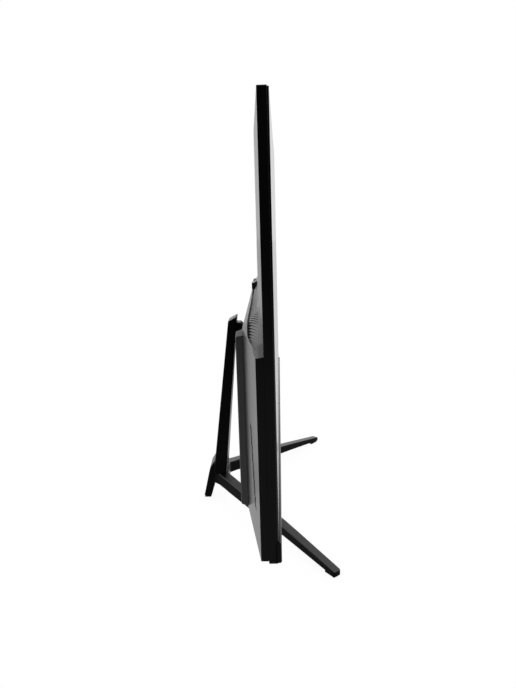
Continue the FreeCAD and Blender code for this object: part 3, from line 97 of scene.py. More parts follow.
# %% Camera
camera_place = (-0.7453, -0.0243, 0.3806)
camera_turn, camera_dip, camera_roll = np.radians([2.228, 12.979, -1.658])
image_height, focal_pixels, sensor_width = 688, 601.0, 36.0


def aim(turn, dip, roll):
    """The three camera arrows. Forward is one turn about Z and one dip below the horizon; right is
    level and square to it; then right and up are rolled together about the forward arrow."""
    ahead = np.array([math.cos(turn) * math.cos(dip), math.sin(turn) * math.cos(dip),
                      -math.sin(dip)])
    level = np.array([math.sin(turn), -math.cos(turn), 0.0])
    above = np.cross(level, ahead)
    right = math.cos(roll) * level + math.sin(roll) * above
    up = math.cos(roll) * above - math.sin(roll) * level
    return right, up, -ahead


camera = bpy.data.objects.new("camera", bpy.data.cameras.new("camera"))
bpy.context.collection.objects.link(camera)
camera.matrix_world = Matrix.Translation(camera_place) @ Matrix(
    np.stack(aim(camera_turn, camera_dip, camera_roll), 1).tolist()).to_4x4()
camera.data.sensor_width = sensor_width
camera.data.lens = focal_pixels / image_height * sensor_width
bpy.context.scene.camera = camera
print("camera lens", round(camera.data.lens, 2), "mm")

# %% [markdown]
# Most pieces are a flat outline that is carried along a line, with its rim drawn in at both ends.
# They could be modelled by hand from cubes, but a grid of computed points keeps every size exact.
# A few helpers are enough: they round the corners of an outline, find the way inwards, stack the
# outlines into a closed skin, and turn a skin into an object.

# %% Skins from outlines


def rounded(corners, radius, steps=4):
    """An outline whose corners are curves. Each curve starts and ends at the corner's reach, which
    is the radius over the tangent of half the corner's angle. Between them the point is a
    quadratic blend of start, corner and end. Returns corner count times (steps + 1) points."""
    corner = np.asarray(corners, float)
    size = np.broadcast_to(np.asarray(radius, float), len(corner))[:, None]
    back = np.roll(corner, 1, 0) - corner
    forth = np.roll(corner, -1, 0) - corner
    back /= np.linalg.norm(back, axis=1, keepdims=True)
    forth /= np.linalg.norm(forth, axis=1, keepdims=True)
    half = np.arccos(np.clip((back * forth).sum(1), -1, 1))[:, None] / 2
    reach = size / np.tan(half)
    u = np.linspace(0, 1, steps + 1)[None, :, None]
    start, end = (corner + back * reach)[:, None], (corner + forth * reach)[:, None]
    bend = (1 - u) ** 2 * start + 2 * u * (1 - u) * corner[:, None] + u ** 2 * end
    return bend.reshape(-1, 2)


def rounded_rectangle(half, low, high, radius, steps):
    """A rectangle from -half to half across and from low to high, with rounded corners."""
    return rounded([(-half, low), (half, low), (half, high), (-half, high)], radius, steps)


def inward(outline):
    """Unit arrows into an outline: a quarter turn from the line between a point's two neighbours,
    to the left when the signed area says that the outline runs anticlockwise."""
    along = np.roll(outline, -1, 0) - np.roll(outline, 1, 0)
    along /= np.maximum(np.linalg.norm(along, axis=1, keepdims=True), 1e-9)
    after = np.roll(outline, -1, 0)
    area = (outline[:, 0] * after[:, 1] - outline[:, 1] * after[:, 0]).sum()
    return np.sign(area) * np.stack([-along[:, 1], along[:, 0]], 1)


def make_object(name, points, faces):
    """Points in millimetres and faces as point numbers become a mesh whose faces look outwards."""
    mesh = bpy.data.meshes.new(name)
    mesh.from_pydata((np.asarray(points) * MM).tolist(), [], faces)
    shape = bmesh.new()
    shape.from_mesh(mesh)
    bmesh.ops.remove_doubles(shape, verts=shape.verts, dist=2e-6)
    bmesh.ops.recalc_face_normals(shape, faces=shape.faces)
    shape.to_mesh(mesh)
    shape.free()
    thing = bpy.data.objects.new(name, mesh)
    bpy.context.collection.objects.link(thing)
    return thing


def skin(name, rows, loop=False):
    """A grid of points, outline after outline, becomes a closed skin. Point j of outline i joins
    point j + 1 and outline i + 1. One face closes each end, unless the outlines form a ring. Rows
    with one more dimension are several such grids, which become one object."""
    rows = np.asarray(rows, float)
    count, around = rows.shape[-3:-1]
    i, j = np.meshgrid(np.arange(count if loop else count - 1), np.arange(around), indexing="ij")
    far, side = (i + 1) % count, (j + 1) % around
    wall = np.stack([i * around + j, i * around + side, far * around + side, far * around + j], -1)
    starts = np.arange(0, rows.size // 3, count * around)
    faces = (starts[:, None, None] + wall.reshape(-1, 4)).reshape(-1, 4).tolist()
    if not loop:
        last = np.arange(around) + (count - 1) * around
        for end in (np.arange(around)[::-1], last):
            faces += (starts[:, None] + end).tolist()
    return make_object(name, rows.reshape(-1, 3), faces)


def head_skin(name, rows, loop=False):
    """A closed skin from rows of x, s and t."""
    return skin(name, on_head(rows[..., 0], rows[..., 1], rows[..., 2]), loop)


def slab_rows(outline, low, high, edge, steps=3):
    """Outlines for a plate from depth low to depth high. Over the last edge millimetres the outline
    draws in along a quarter circle: inset edge * (1 - sin a) at depth edge * (1 - cos a)."""
    a = np.linspace(0, math.pi / 2, steps + 1)
    inset = edge * (1 - np.sin(a))
    depth = edge * (1 - np.cos(a))
    insets = np.concatenate([inset, inset[::-1]])[:, None, None]
    depths = np.concatenate([low + depth, high - depth[::-1]])[:, None, None]
    flat = outline[None] + inward(outline)[None] * insets
    return np.concatenate([flat, np.broadcast_to(depths, flat.shape[:2] + (1,))], -1)


print("helpers ready")

# %% [markdown]
# A sharp edge looks false, because real mouldings catch a thin line of light. The Bevel modifier
# rounds the edges of shapes with many facets, and the Boolean modifier cuts recesses and holes.
# Both are applied at once, so that the mesh that is seen is the mesh that is kept.

# %% Rounding, cutting and handing over


def settle(thing):
    """Applies the modifiers by keeping the mesh that they make."""
    bpy.context.view_layer.update()
    graph = bpy.context.evaluated_depsgraph_get()
    made = bpy.data.meshes.new_from_object(thing.evaluated_get(graph))
    thing.modifiers.clear()
    thing.data = made
    return thing


def soften(thing, width, angle):
    """Rounds each edge whose faces meet at more than the angle, in degrees."""
    bevel = thing.modifiers.new("rounding", "BEVEL")
    bevel.width = width * MM
    bevel.segments = 3
    bevel.limit_method = "ANGLE"
    bevel.angle_limit = math.radians(angle)
    bevel.miter_outer = "MITER_ARC"
    return settle(thing)


def carve(thing, tools):
    """Takes the tools' volume away, one after another, and deletes the tools."""
    for tool in tools:
        cut = thing.modifiers.new("cut", "BOOLEAN")
        cut.operation = "DIFFERENCE"
        cut.solver = "EXACT"
        cut.object = tool
        settle(thing)
        bpy.data.objects.remove(tool)


def hand_over(thing, body, nodes, material, angle=30.0):
    """Gives a finished piece its shading, material and body, and hides the frame's nodes that it
    stands for. Edges whose faces meet at more than the angle, in degrees, stay sharp. Of two faces
    that share all their points, one is dropped."""
    mesh = thing.data
    mesh.materials.clear()
    mesh.materials.append(material)
    mesh.shade_smooth()
    mesh.set_sharp_from_angle(angle=math.radians(angle))
    weight = thing.modifiers.new("even shading", "WEIGHTED_NORMAL")
    weight.keep_sharp = True
    settle(thing).data.validate(clean_customdata=False)
    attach(thing, body)
    if nodes:
        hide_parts(*nodes)
    print(thing.name, len(thing.data.polygons), "faces")


print("tools ready")

# %% [markdown]
# A finish is a small net of nodes. It could be wired by hand, link by link. Here each node is made
# together with its inputs, and an input is either a number or another node's output, so that the
# code reads in the order in which the values flow.

# %% Helpers for nodes


def give(tree, socket, value):
    """Links a socket to another node's output, or else sets the socket to a number or colour."""
    if isinstance(value, bpy.types.NodeSocket):
        tree.links.new(value, socket)
    else:
        socket.default_value = value


def feed(tree, target, **inputs):
    """Gives a node its named inputs. Their names use _ for a space."""
    for key, value in inputs.items():
        give(tree, target.inputs[key.replace("_", " ")], value)


def node(tree, kind, settings=None, **inputs):
    """One shader node with its settings and its inputs."""
    made = tree.nodes.new("ShaderNode" + kind)
    for key, value in (settings or {}).items():
        setattr(made, key, value)
    feed(tree, made, **inputs)
    return made


def maths(tree, operation, *values, kind="Math"):
    """The result of a Math node, or a VectorMath one, whose inputs go by number, not by name."""
    made = node(tree, kind, {"operation": operation})
    for socket, value in zip(made.inputs, values):
        give(tree, socket, value)
    return made.outputs[0]


def ramp(tree, value, start, end, low=0.0, high=1.0):
    """Low while the value is under start, high once it passes end, and a straight line between."""
    made = node(tree, "MapRange", Value=value, From_Min=start, From_Max=end, To_Min=low,
                To_Max=high)
    return made.outputs[0]


def mixed(tree, share, colour, other):
    """A blend of two colours: share 0 gives the first and share 1 the other."""
    made = node(tree, "Mix", {"data_type": "RGBA"})
    for number, value in ((0, share), (6, (*colour, 1)), (7, (*other, 1))):
        give(tree, made.inputs[number], value)
    return made.outputs[2]


def new_material(name):
    """A material, its tree and its Principled shader."""
    material = bpy.data.materials.new(name)
    material.use_nodes = True
    return material, material.node_tree, material.node_tree.nodes["Principled BSDF"]


def new_group(title, inputs, outputs):
    """An empty shader group with named number sockets, and the nodes at its two ends."""
    group = bpy.data.node_groups.new(title, "ShaderNodeTree")
    for way, labels in (("INPUT", inputs), ("OUTPUT", outputs)):
        for label in labels:
            group.interface.new_socket(label, in_out=way, socket_type="NodeSocketFloat")
    return group, group.nodes.new("NodeGroupInput"), group.nodes.new("NodeGroupOutput")


def place_group(tree, group, **inputs):
    """The group as a node of a material, with this material's numbers."""
    return node(tree, "Group", {"node_tree": group}, **inputs)


print("node helpers ready")

# %% [markdown]
# The finish of moulded plastic is two things at once: a fine spark-eroded grain that blurs a
# reflection, and slow changes in gloss where hands and cloths have rubbed it. Each could be
# painted, but a procedural noise has no seams. It is a node group, so that one recipe serves every
# black piece with its own numbers.

# %% Node group: moulded grain
grain, given, result = new_group("moulded grain", ["Fineness", "Gloss Change", "Roughness"],
                                 ["Height", "Roughness"])
where = node(grain, "TexCoord").outputs["Object"]
fine = node(grain, "TexNoise", Vector=where, Scale=given.outputs["Fineness"], Detail=2.0,
            Roughness=0.6)
slow = node(grain, "TexNoise", Vector=where, Scale=14.0, Detail=4.0, Roughness=0.55)
centred = maths(grain, "SUBTRACT", slow.outputs["Fac"], 0.5)
varied = maths(grain, "MULTIPLY_ADD", centred, given.outputs["Gloss Change"],
               given.outputs["Roughness"])
feed(grain, result, Height=fine.outputs["Fac"], Roughness=varied)
print("group", grain.name)

# %% [markdown]
# Dust settles on what faces up and gathers in patches. The mask is the upward part of the surface's
# normal, times a patchy noise. Rubbing shows as long soft streaks, which are a noise squeezed along
# one axis.

# %% Node groups: settled dust and rubbed streaks


def upward_part(tree):
    """How much a surface faces up: 0 while its normal's Z is under 0.35, and 1 where it is 1."""
    normal = node(tree, "NewGeometry").outputs["Normal"]
    height = node(tree, "SeparateXYZ", Vector=normal).outputs["Z"]
    return ramp(tree, height, 0.35, 1.0)


dust, given, result = new_group("settled dust", ["Amount"], ["Mask"])
where = node(dust, "TexCoord").outputs["Object"]
patch = node(dust, "TexNoise", Vector=where, Scale=60.0, Detail=6.0, Roughness=0.7)
patches = ramp(dust, patch.outputs["Fac"], 0.4, 0.75)
lying = maths(dust, "MULTIPLY", upward_part(dust), patches)
feed(dust, result, Mask=maths(dust, "MULTIPLY", lying, given.outputs["Amount"]))

streaks, given, result = new_group("rubbed streaks", ["Across", "Along"], ["Mask"])
where = node(streaks, "TexCoord").outputs["Object"]
squeeze = node(streaks, "CombineXYZ", X=given.outputs["Along"], Y=given.outputs["Across"],
               Z=given.outputs["Across"]).outputs[0]
squeezed = maths(streaks, "MULTIPLY", where, squeeze, kind="VectorMath")
line = node(streaks, "TexNoise", Vector=squeezed, Scale=1.0, Detail=5.0, Roughness=0.65)
feed(streaks, result, Mask=line.outputs["Fac"])
print("groups", dust.name, "and", streaks.name)

# %% [markdown]
# Now the finishes. Black plastic has a very dark colour of its own, and nearly all that is seen of
# it is the room, mirrored most strongly where the surface is seen at a low angle. The grain
# swallows what little is mirrored straight on. A plain finish has one specular level for all
# angles, so here the level follows the viewing angle: a small part of its value where a surface
# faces the viewer, and all of it at a low angle. At the lowest angles the mirror image also
# clears. The upper faces of the base are smoother and always have all of the shine.

# %% Plastics
shine_climb = 0.2
lowest_angles, clearest = (0.975, 0.995), 0.15
gloss_change, grain_depth = 0.08, 0.0002
dust_colour = (0.30, 0.29, 0.27)


def moulded(name, colour, roughness, level=0.5, bump=0.06, fineness=2200.0, dusty=0.04,
            dull=0.12, upper=0.0, start=0.62):
    """Moulded plastic. The specular level is level times the larger of two values: a shine that
    climbs from dull to 1 once Facing passes start, and upper times how much the surface faces up.
    Grain drives the bump and the roughness, which falls at the lowest angles, and dust lightens
    the colour."""
    material, tree, shader = new_material(name)
    slant = node(tree, "LayerWeight", Blend=0.5).outputs["Facing"]
    shine = ramp(tree, slant, start, start + shine_climb, dull)
    from_above = maths(tree, "MULTIPLY", upward_part(tree), upper)
    gloss = maths(tree, "MULTIPLY", maths(tree, "MAXIMUM", shine, from_above), level)
    surface = place_group(tree, grain, Fineness=fineness, Gloss_Change=gloss_change,
                          Roughness=roughness)
    clearing = ramp(tree, slant, *lowest_angles, 1.0, clearest)
    blur = maths(tree, "MULTIPLY", clearing, surface.outputs["Roughness"])
    settled = place_group(tree, dust, Amount=dusty)
    raised = node(tree, "Bump", Strength=bump, Distance=grain_depth,
                  Height=surface.outputs["Height"])
    feed(tree, shader, Base_Color=mixed(tree, settled.outputs["Mask"], colour, dust_colour),
         Roughness=blur, Specular_IOR_Level=gloss, Normal=raised.outputs["Normal"])
    return material


black_satin = moulded("black satin plastic", (0.0022, 0.0024, 0.0030), 0.28, bump=0.03,
                      dusty=0.005, dull=0.16, start=0.5)
deep_satin = moulded("deep black satin plastic", (0.0060, 0.0066, 0.0078), 0.42, dull=1.0)
stand_satin = moulded("stand satin plastic", (0.0020, 0.0022, 0.0026), 0.32, level=0.55,
                      dusty=0.03, dull=0.06, upper=1.0)
socket_black = moulded("moulded socket plastic", (0.008, 0.008, 0.008), 0.5, bump=0.03, dusty=0.0)
soft_rubber = moulded("foot rubber", (0.012, 0.012, 0.012), 0.8, level=0.3, bump=0.4,
                      fineness=900.0)
cable_skin = moulded("cable insulation", (0.03, 0.03, 0.032), 0.5, bump=0.05, dusty=0.0)
white_sheet = moulded("white reflector sheet", (0.75, 0.76, 0.75), 0.35, bump=0.02, dusty=0.0)
coated_steel = moulded("black coated steel", (0.008, 0.0085, 0.009), 0.45, bump=0.1,
                       fineness=1200.0)
print("plastics", [m.name for m in bpy.data.materials])

# %% [markdown]
# Screws, pins and socket shells are bare metal, with fine lines from rolling and turning. A picture
# of scratches would repeat, so the streaks draw them: they raise the surface and change its gloss
# together.

# %% Metals
smoother, rougher, line_depth = 0.08, 0.12, 0.0001


def metal(name, colour, roughness, across=220.0, along=9.0, bump=0.08):
    """Bare metal: streaks raise fine lines, and move the roughness from a little under its value
    to a little over it."""
    material, tree, shader = new_material(name)
    lines = place_group(tree, streaks, Across=across, Along=along).outputs["Mask"]
    rubbed = ramp(tree, lines, 0.0, 1.0, roughness - smoother, roughness + rougher)
    raised = node(tree, "Bump", Strength=bump, Distance=line_depth, Height=lines)
    feed(tree, shader, Base_Color=(*colour, 1), Metallic=1.0, Roughness=rubbed,
         Normal=raised.outputs["Normal"])
    return material


zinc = metal("zinc plated steel", (0.46, 0.47, 0.48), 0.38)
plated = metal("plated socket shell", (0.55, 0.55, 0.54), 0.3, across=400.0, along=30.0)
turned_brass = metal("turned brass", (0.55, 0.40, 0.16), 0.32, across=90.0, along=90.0)
cast_alloy = metal("cast alloy", (0.38, 0.39, 0.40), 0.55, across=300.0, along=300.0, bump=0.3)
print("with metals", len(bpy.data.materials), "finishes")

# %% [markdown]
# The screen is a dark panel behind an anti-glare film: nearly black when it is off, with a fine
# haze that blurs what it mirrors, less so at a very low angle, where a thin film of dust shows
# instead. A border printed behind the film is a little blacker than the lit area. It could be a
# second material on its own faces, but the panel is one flat face, so the material measures how
# far a point is from the middle of the picture, along X and along Z, and changes at the edge.

# %% Screen finish
picture_width, picture_height, top_border = 597.7, 336.2, 8.2
picture_middle_z = head_top_z - top_border - picture_height / 2
border_black, picture_black = (0.0012, 0.0012, 0.0014), (0.0055, 0.0060, 0.0072)
haze_clears, haze_left, film_depth = (0.9, 0.97), 0.4, 0.0001

screen_film, tree, shader = new_material("screen film")
where = node(tree, "TexCoord").outputs["Object"]
centre = node(tree, "Mapping", Vector=where, Location=(0, 0, -picture_middle_z * MM))
apart = node(tree, "SeparateXYZ", Vector=centre.outputs[0])
inside = []
for axis, length in (("X", picture_width), ("Z", picture_height)):
    distance = maths(tree, "ABSOLUTE", apart.outputs[axis])
    inside.append(maths(tree, "LESS_THAN", distance, length / 2 * MM))
lit = maths(tree, "MULTIPLY", *inside)
haze = place_group(tree, grain, Fineness=5200.0, Gloss_Change=0.03, Roughness=0.18)
slant = node(tree, "LayerWeight", Blend=0.5).outputs["Facing"]
clearing = ramp(tree, slant, *haze_clears, 1.0, haze_left)
raised = node(tree, "Bump", Strength=0.01, Distance=film_depth, Height=haze.outputs["Height"])
feed(tree, shader, Base_Color=mixed(tree, lit, border_black, picture_black),
     Roughness=maths(tree, "MULTIPLY", clearing, haze.outputs["Roughness"]),
     Sheen_Weight=ramp(tree, slant, *lowest_angles), Sheen_Roughness=0.3,
     Normal=raised.outputs["Normal"])
print("screen finish for a picture of", picture_width, "x", picture_height)

# %% [markdown]
# Two finishes are for what sits inside. A circuit board has copper runs under green lacquer, which
# a brick pattern draws well enough at this size. Clear sheets pass the light of the lamp strip.

# %% Inner finishes
board_green, tree, shader = new_material("circuit board lacquer")
where = node(tree, "TexCoord").outputs["Object"]
turned = node(tree, "Mapping", Vector=where, Rotation=(math.pi / 2, 0, 0))
runs = node(tree, "TexBrick", Vector=turned.outputs[0], Scale=90.0, Mortar_Size=0.04,
            Color1=(0.010, 0.075, 0.038, 1), Color2=(0.014, 0.095, 0.048, 1),
            Mortar=(0.030, 0.170, 0.085, 1))
lacquer = place_group(tree, grain, Fineness=1500.0, Gloss_Change=0.1, Roughness=0.35)
feed(tree, shader, Base_Color=runs.outputs["Color"], Roughness=lacquer.outputs["Roughness"])

clear_sheet, tree, shader = new_material("clear acrylic")
frost = place_group(tree, grain, Fineness=1800.0, Gloss_Change=0.1, Roughness=0.3)
feed(tree, shader, Base_Color=(0.82, 0.85, 0.86, 1), Transmission_Weight=0.6, IOR=1.49,
     Roughness=frost.outputs["Roughness"])
print("inner finishes ready")

# %% [markdown]
# Every node of the frame gets a finish now. The pieces that are rebuilt below hide theirs, and the
# others keep their own shape and show this.

# %% Finishes for the frame's own nodes
finish_of_slot = {
    "black_plastic": black_satin, "dark_plastic": deep_satin, "screen_glass": screen_film,
    "clear_sheet": clear_sheet, "white_sheet": white_sheet, "steel_sheet": zinc,
    "circuit_board": board_green, "socket_metal": plated, "socket_plastic": socket_black,
    "brass": turned_brass, "bright_steel": zinc, "dark_steel": coated_steel,
    "cast_core": cast_alloy, "rubber": soft_rubber, "cable": cable_skin,
}
slot_of_node = {part["node"]: part["material_slot"] for part in frame["record"]["subparts"]}
for title, thing in frame["nodes"].items():
    thing.data.materials.clear()
    thing.data.materials.append(finish_of_slot[slot_of_node[title]])
print(len(frame["nodes"]), "nodes have a finish")

# %% [markdown]
# ## The head
# The middle frame is a thin rim that holds the panel. It could be a block with a hole, but then
# every round would need its own bevel. So its section, a small wall with a lip at the front, is
# carried round the head's outline.

# %% Middle frame
rim_wall, lip_width, lip_back, seam_gap = 2.2, 7.5, 1.2, 0.15
outer_round, inner_round = 0.3, 0.1


def rim(name, path, section):
    """A ring: each point of the path carries the section, whose first number goes inwards from the
    path and whose second is the depth."""
    flat = path[:, None] + inward(path)[:, None] * section[None, :, :1]
    depth = np.broadcast_to(section[None, :, 1:], flat.shape[:2] + (1,))
    return head_skin(name, np.concatenate([flat, depth], -1), loop=True)


rim_back = frame_depth - seam_gap
rim_path = rounded_rectangle(head_half, -rim_drop, head_height, rim_drop, 6)
rim_corners = [(0, 0), (0, rim_back), (rim_wall, rim_back), (rim_wall, lip_back),
               (lip_width, lip_back), (lip_width, 0)]
rim_section = rounded(rim_corners, [outer_round] * 2 + [inner_round] * 4)
middle_frame = rim("middle_frame_rim", rim_path, rim_section)
hand_over(middle_frame, "head", ["middle_frame"], black_satin)

# %% [markdown]
# The screen panel stands a little proud of the rim. A cube would have sharp sides, so it is a plate
# of stacked outlines. Its front edge is ground to a small round, which is the thin pale line along
# the front when the head is seen from its side.

# %% Screen panel
panel_low, panel_high = head_box("screen_panel")
chin_height, panel_front = panel_low[1:]
chin_gap, top_gap, back_gap = 0.15, 0.6, 0.02
panel_outline = rounded_rectangle(panel_high[0], chin_height + chin_gap, head_height - top_gap,
                                  radius=1.0, steps=3)
rows = slab_rows(panel_outline, panel_front, -back_gap, edge=0.35)
screen_panel = head_skin("screen_panel_face", rows)
hand_over(screen_panel, "head", ["screen_panel"], screen_film)

# %% [markdown]
# The chin is a bar under the picture. It is the same kind of plate, thicker, with a softer edge at
# the front. Its back stays square against the rim, so of the rounded back rim only the first
# outline is kept and moved to the back.

# %% Chin
chin_low, chin_front = head_box("front_chin")[0, 1:]
chin_back, chin_round, chin_steps = 0.9, 1.9, 5
groove, low_round, high_round = 0.1, 1.2, 1.0
chin_outline = rounded_rectangle(head_half, chin_low, chin_height - groove,
                                 [low_round] * 2 + [high_round] * 2, chin_steps)
rows = slab_rows(chin_outline, chin_front, chin_back, chin_round, chin_steps)[:chin_steps + 2]
rows[-1, :, 2] = chin_back
hand_over(head_skin("chin_bar", rows), "head", ["front_chin"], black_satin)

# %% [markdown]
# The rear cover is the piece with the most shape. Its upper part is a shallow pillow. Below it the
# sides slope out to a flat floor, and a band slants from a double ridge back up to the pillow. In
# the middle of the band stands a small tab. Cubes and bevels would lose the long slopes.
# Instead ten points from the bottom to the top describe the cover at one place across the width,
# and the places in between are straight blends, so the whole cover is one grid.

# %% Rear cover
cover_low, floor_depth = head_box("rear_cover")[0, 1], head_box("rear_cover")[1, 2]
(_, block_low, _), (floor_half, block_high, block_depth) = head_box("block_cover")
tab_half, tab_slope, tab_s, tab_depths = 10.0, 0.6, 192.0, (28.2, 23.1)
pillow_half, pillow_top, pillow_depth = 200.0, 345.0, 14.0
ridge_places = [tab_half, floor_half, head_half]
low_ridge = [169.5, 169.5, 172.0], [floor_depth, floor_depth, 13.5]
top_ridge = [183.5, 178.0, 172.1], [28.2, 28.3, 13.4]
band_end = [217.0, 203.0, 173.0]
band_shares = (0.35, 0.6, 1.0)
cover_wall, slope_draw, front_stub = 2.0, 1.2, 3.0


def pillow_at(x):
    """Depth and upper limit of the pillow: both go in a straight line from its flat middle to the
    head's edge."""
    out = np.clip((np.abs(x) - pillow_half) / (head_half - pillow_half), 0, 1)
    depth = pillow_depth - out * (pillow_depth - frame_depth)
    return depth, pillow_top + out * (head_height - pillow_top)


def ridges_at(x):
    """The lower ridge and the upper ridge as s and t, and s of the line where the band would meet
    the seam. Each is read between three places across the width."""
    lines = [np.interp(np.abs(x), ridge_places, line)
             for line in (*low_ridge, *top_ridge, band_end)]
    return lines[:2], lines[2:4], lines[4]


def band_at(x, share, rise=0.0):
    """s and t of a point of the slanted band. Share 0 is the upper ridge, and share 1 is where the
    line from there to the seam has the pillow's depth. Rise lifts the point square to the band."""
    _, (top_s, top_t), end_s = ridges_at(x)
    meet = (top_t - pillow_at(x)[0]) / (top_t - frame_depth) * share
    run_s, run_t = end_s - top_s, frame_depth - top_t
    length = np.hypot(run_s, run_t)
    s = top_s + run_s * meet - rise * run_t / length
    t = top_t + run_t * meet + rise * run_s / length
    return s, t


def cover_section(x, on_tab, inset, front):
    """The ten points of the cover at x, from its bottom to its top, drawn in by inset. On the tab,
    two of them leave the band and stand up."""
    low, top, _ = ridges_at(x)
    pillow_t, pillow_s = pillow_at(x)
    band = [band_at(x, share) for share in band_shares]
    first, second = [(np.where(on_tab, tab_s, s), np.where(on_tab, tab_t, t))
                     for (s, t), tab_t in zip(band, tab_depths)]
    slopes = [(s - inset * slope_draw, t - inset) for s, t in (low, top, first, second, band[2])]
    pairs = [(cover_low + inset, front), (cover_low + inset, low[1] - inset), *slopes,
             (pillow_s - inset, pillow_t - inset),
             (head_height - inset, np.minimum(frame_depth, pillow_t - inset)),
             (head_height - inset, front)]
    return np.stack([on_head(x, s, t) for s, t in pairs], 1)


right_side = np.array([head_half, 285.0, 259.0, floor_half, pillow_half, 150.0, 100.0, 50.0,
                       tab_half])
tab_top = tab_half - tab_slope
across = np.concatenate([-right_side, [-tab_top, tab_top], right_side[::-1]])
on_tab = np.abs(across) < tab_half
blank = skin("rear_cover_shell", cover_section(across, on_tab, 0.0, front_stub))
rear_cover = soften(blank, width=1.1, angle=14.0)
inner_half = head_half - cover_wall
hollow = skin("hollow", cover_section(np.clip(across, -inner_half, inner_half), on_tab,
                                      cover_wall, front_stub - 1.0))
print("rear cover blank", len(rear_cover.data.polygons), "faces")

# %% [markdown]
# The blank is now cut: first the hollow and the part inside the middle frame, then the vent
# recesses, the slanted speaker slots, the windows for the sockets, and the holes for the screws
# and the mounting pattern. Building the openings into the grid would ask for a row of points at
# each of them, so each is a tool instead: outlines carried straight through the wall.

# %% Cutting tools for the back
inside_t, outside_t, beyond = 20.0, 40.0, 15.0


def straight(name, outlines, t0=inside_t, t1=outside_t):
    """Straight tools as one object: each outline of x and s is carried from depth t0 to t1."""
    outlines = np.asarray(outlines, float)[:, None]
    return skin(name, on_head(outlines[..., 0], outlines[..., 1], np.array([[t0], [t1]])))


def block(name, x0, x1, s0, s1, t0=inside_t, t1=outside_t):
    """A plain box."""
    return straight(name, [[(x0, s0), (x1, s0), (x1, s1), (x0, s1)]], t0, t1)


def hole(x, s, half_x, half_s):
    """A box through the wall, centred at x and s."""
    return block("hole", x - half_x, x + half_x, s - half_s, s + half_s)


def drill(name, places, radius, t0=inside_t, sides=32):
    """Round tools at several places: circles of the radius, x by its cosine and s by its sine."""
    turn = np.linspace(0, 2 * math.pi, sides, endpoint=False)
    circle = radius * np.stack([np.cos(turn), np.sin(turn)], 1)
    return straight(name, np.asarray(places)[:, None] + circle, t0)


shell_wall = 0.7
with_shell = [title for title, slot in slot_of_node.items() if slot == "socket_metal"]
socket_shells = {**dict.fromkeys(with_shell, shell_wall), "audio_jack": 0.0, "dc_inlet": 0.0}


def mouths(gap):
    """A box for each socket's mouth: the socket's box, less its shell, with a gap on every side."""
    made = []
    for title, shell in socket_shells.items():
        (x0, s0, _), (x1, s1, _) = head_box(title)
        grow = gap - shell
        made.append(block("mouth", x0 - grow, x1 + grow, s0 - grow, s1 + grow))
    return made


vent_places = [18.0, 116.5, 215.0, 249.0, 265.0, 289.0]
vent_low = [0.10, 0.26, 0.30, 0.06, 0.07, 0.22]
vent_high = [0.92, 0.92, 0.92, 0.92, 0.80, 0.46]
vent_columns = np.concatenate([np.linspace(289, 249, 9),
                               [240, 228, 215, 200, 160, 116.5, 84, 50, 18]])
vent_recess = 3.1


def vent_limits(x):
    """Lower and upper share of the vent's opening at x, read between measured places. Towards its
    outer tip both close on a blunt point."""
    x = np.abs(x)
    return np.interp(x, vent_places, vent_low), np.interp(x, vent_places, vent_high)


def vent_plate(name, side, grow, low_rise, high_rise):
    """The vent's opening as a plate that follows the band on one side of the head: between its two
    limits, each moved out by grow, and between two rises."""
    low, high = vent_limits(vent_columns)
    low, high = low - grow, high + grow
    corners = ((low, low_rise), (high, low_rise), (high, high_rise), (low, high_rise))
    ring = [on_head(side * vent_columns, *band_at(vent_columns, share, rise))
            for share, rise in corners]
    return skin(name, np.stack(ring, 1))


slot_start, slot_way, slot_count = np.array([276.0, 38.0]), np.array([-17.0, 62.0]), 10
slot_corners = np.array([(-7.0, -5.5), (3.2, -1.7), (3.2, 3.3), (-7.0, -0.5)])


def speaker_slots(side):
    """Slanted slots at even steps along a leaning row. Each is a thin parallelogram round its
    place on the row, and side -1 mirrors them."""
    place = slot_start + slot_way * np.linspace(0, 1, slot_count)[:, None]
    x = side * (place[:, :1] - slot_corners[:, 0])
    return straight("speaker_slots", np.stack([x, place[:, 1:] + slot_corners[:, 1]], -1), 5.0)


cover_screw_places = [(x, s) for x in (-200.0, 200.0) for s in (15.0, 155.0)]
mounting_places = [(x, s) for x in (-50.0, 50.0) for s in (68.0, 168.0)]
lock_x, lock_s, _ = head_box("lock_slot_plate").mean(0)
lock_half_x, lock_half_s = 3.5, 1.5
insert_radius, screw_radius, screw_start = 4.05, 1.9, 12.0
key_window = 139.0, 205.0, 23.0, 41.0
seam_overlap, over_band, cover_mouth_gap = 0.1, 8.0, 1.1
tools = [hollow,
         block("seam", -head_half - beyond, head_half + beyond, -beyond, head_height + beyond,
               -beyond, frame_depth - seam_overlap),
         *[vent_plate("recess", side, 0.0, -vent_recess, over_band) for side in (-1, 1)],
         *[speaker_slots(side) for side in (-1, 1)],
         drill("insert_holes", mounting_places, insert_radius),
         drill("screw_holes", cover_screw_places, screw_radius, screw_start),
         block("key_window", *key_window), hole(lock_x, lock_s, lock_half_x, lock_half_s),
         *mouths(cover_mouth_gap)]
carve(rear_cover, tools)
hand_over(rear_cover, "head", ["rear_cover"], black_satin, angle=24.0)

# %% [markdown]
# Each vent holds a grille of slanted slats. A slat climbs outwards from the lower edge of the
# opening until it meets the upper one, and it follows every bend of the band on its way. Copies of
# one straight slat couldn't bend, so each is a section carried along its own way. The slats stand
# on a thin tray of the same plastic.

# %% Vent grilles
slat_feet = np.arange(-27.1, 284.0, 6.3)
slat_climb, slat_sink, slat_overlap = 0.017, 1.5, 0.01
slat_inner, slat_outer = 18.2, 288.0
tray_grow, tray_front, tray_back = 0.012, vent_recess + 1.4, vent_recess - 0.75
slat_section = np.array([(-2.2, -1.0), (2.2, -1.0), (2.2, -0.4), (1.7, 0.0), (-1.7, 0.0),
                         (-2.2, -0.4)])


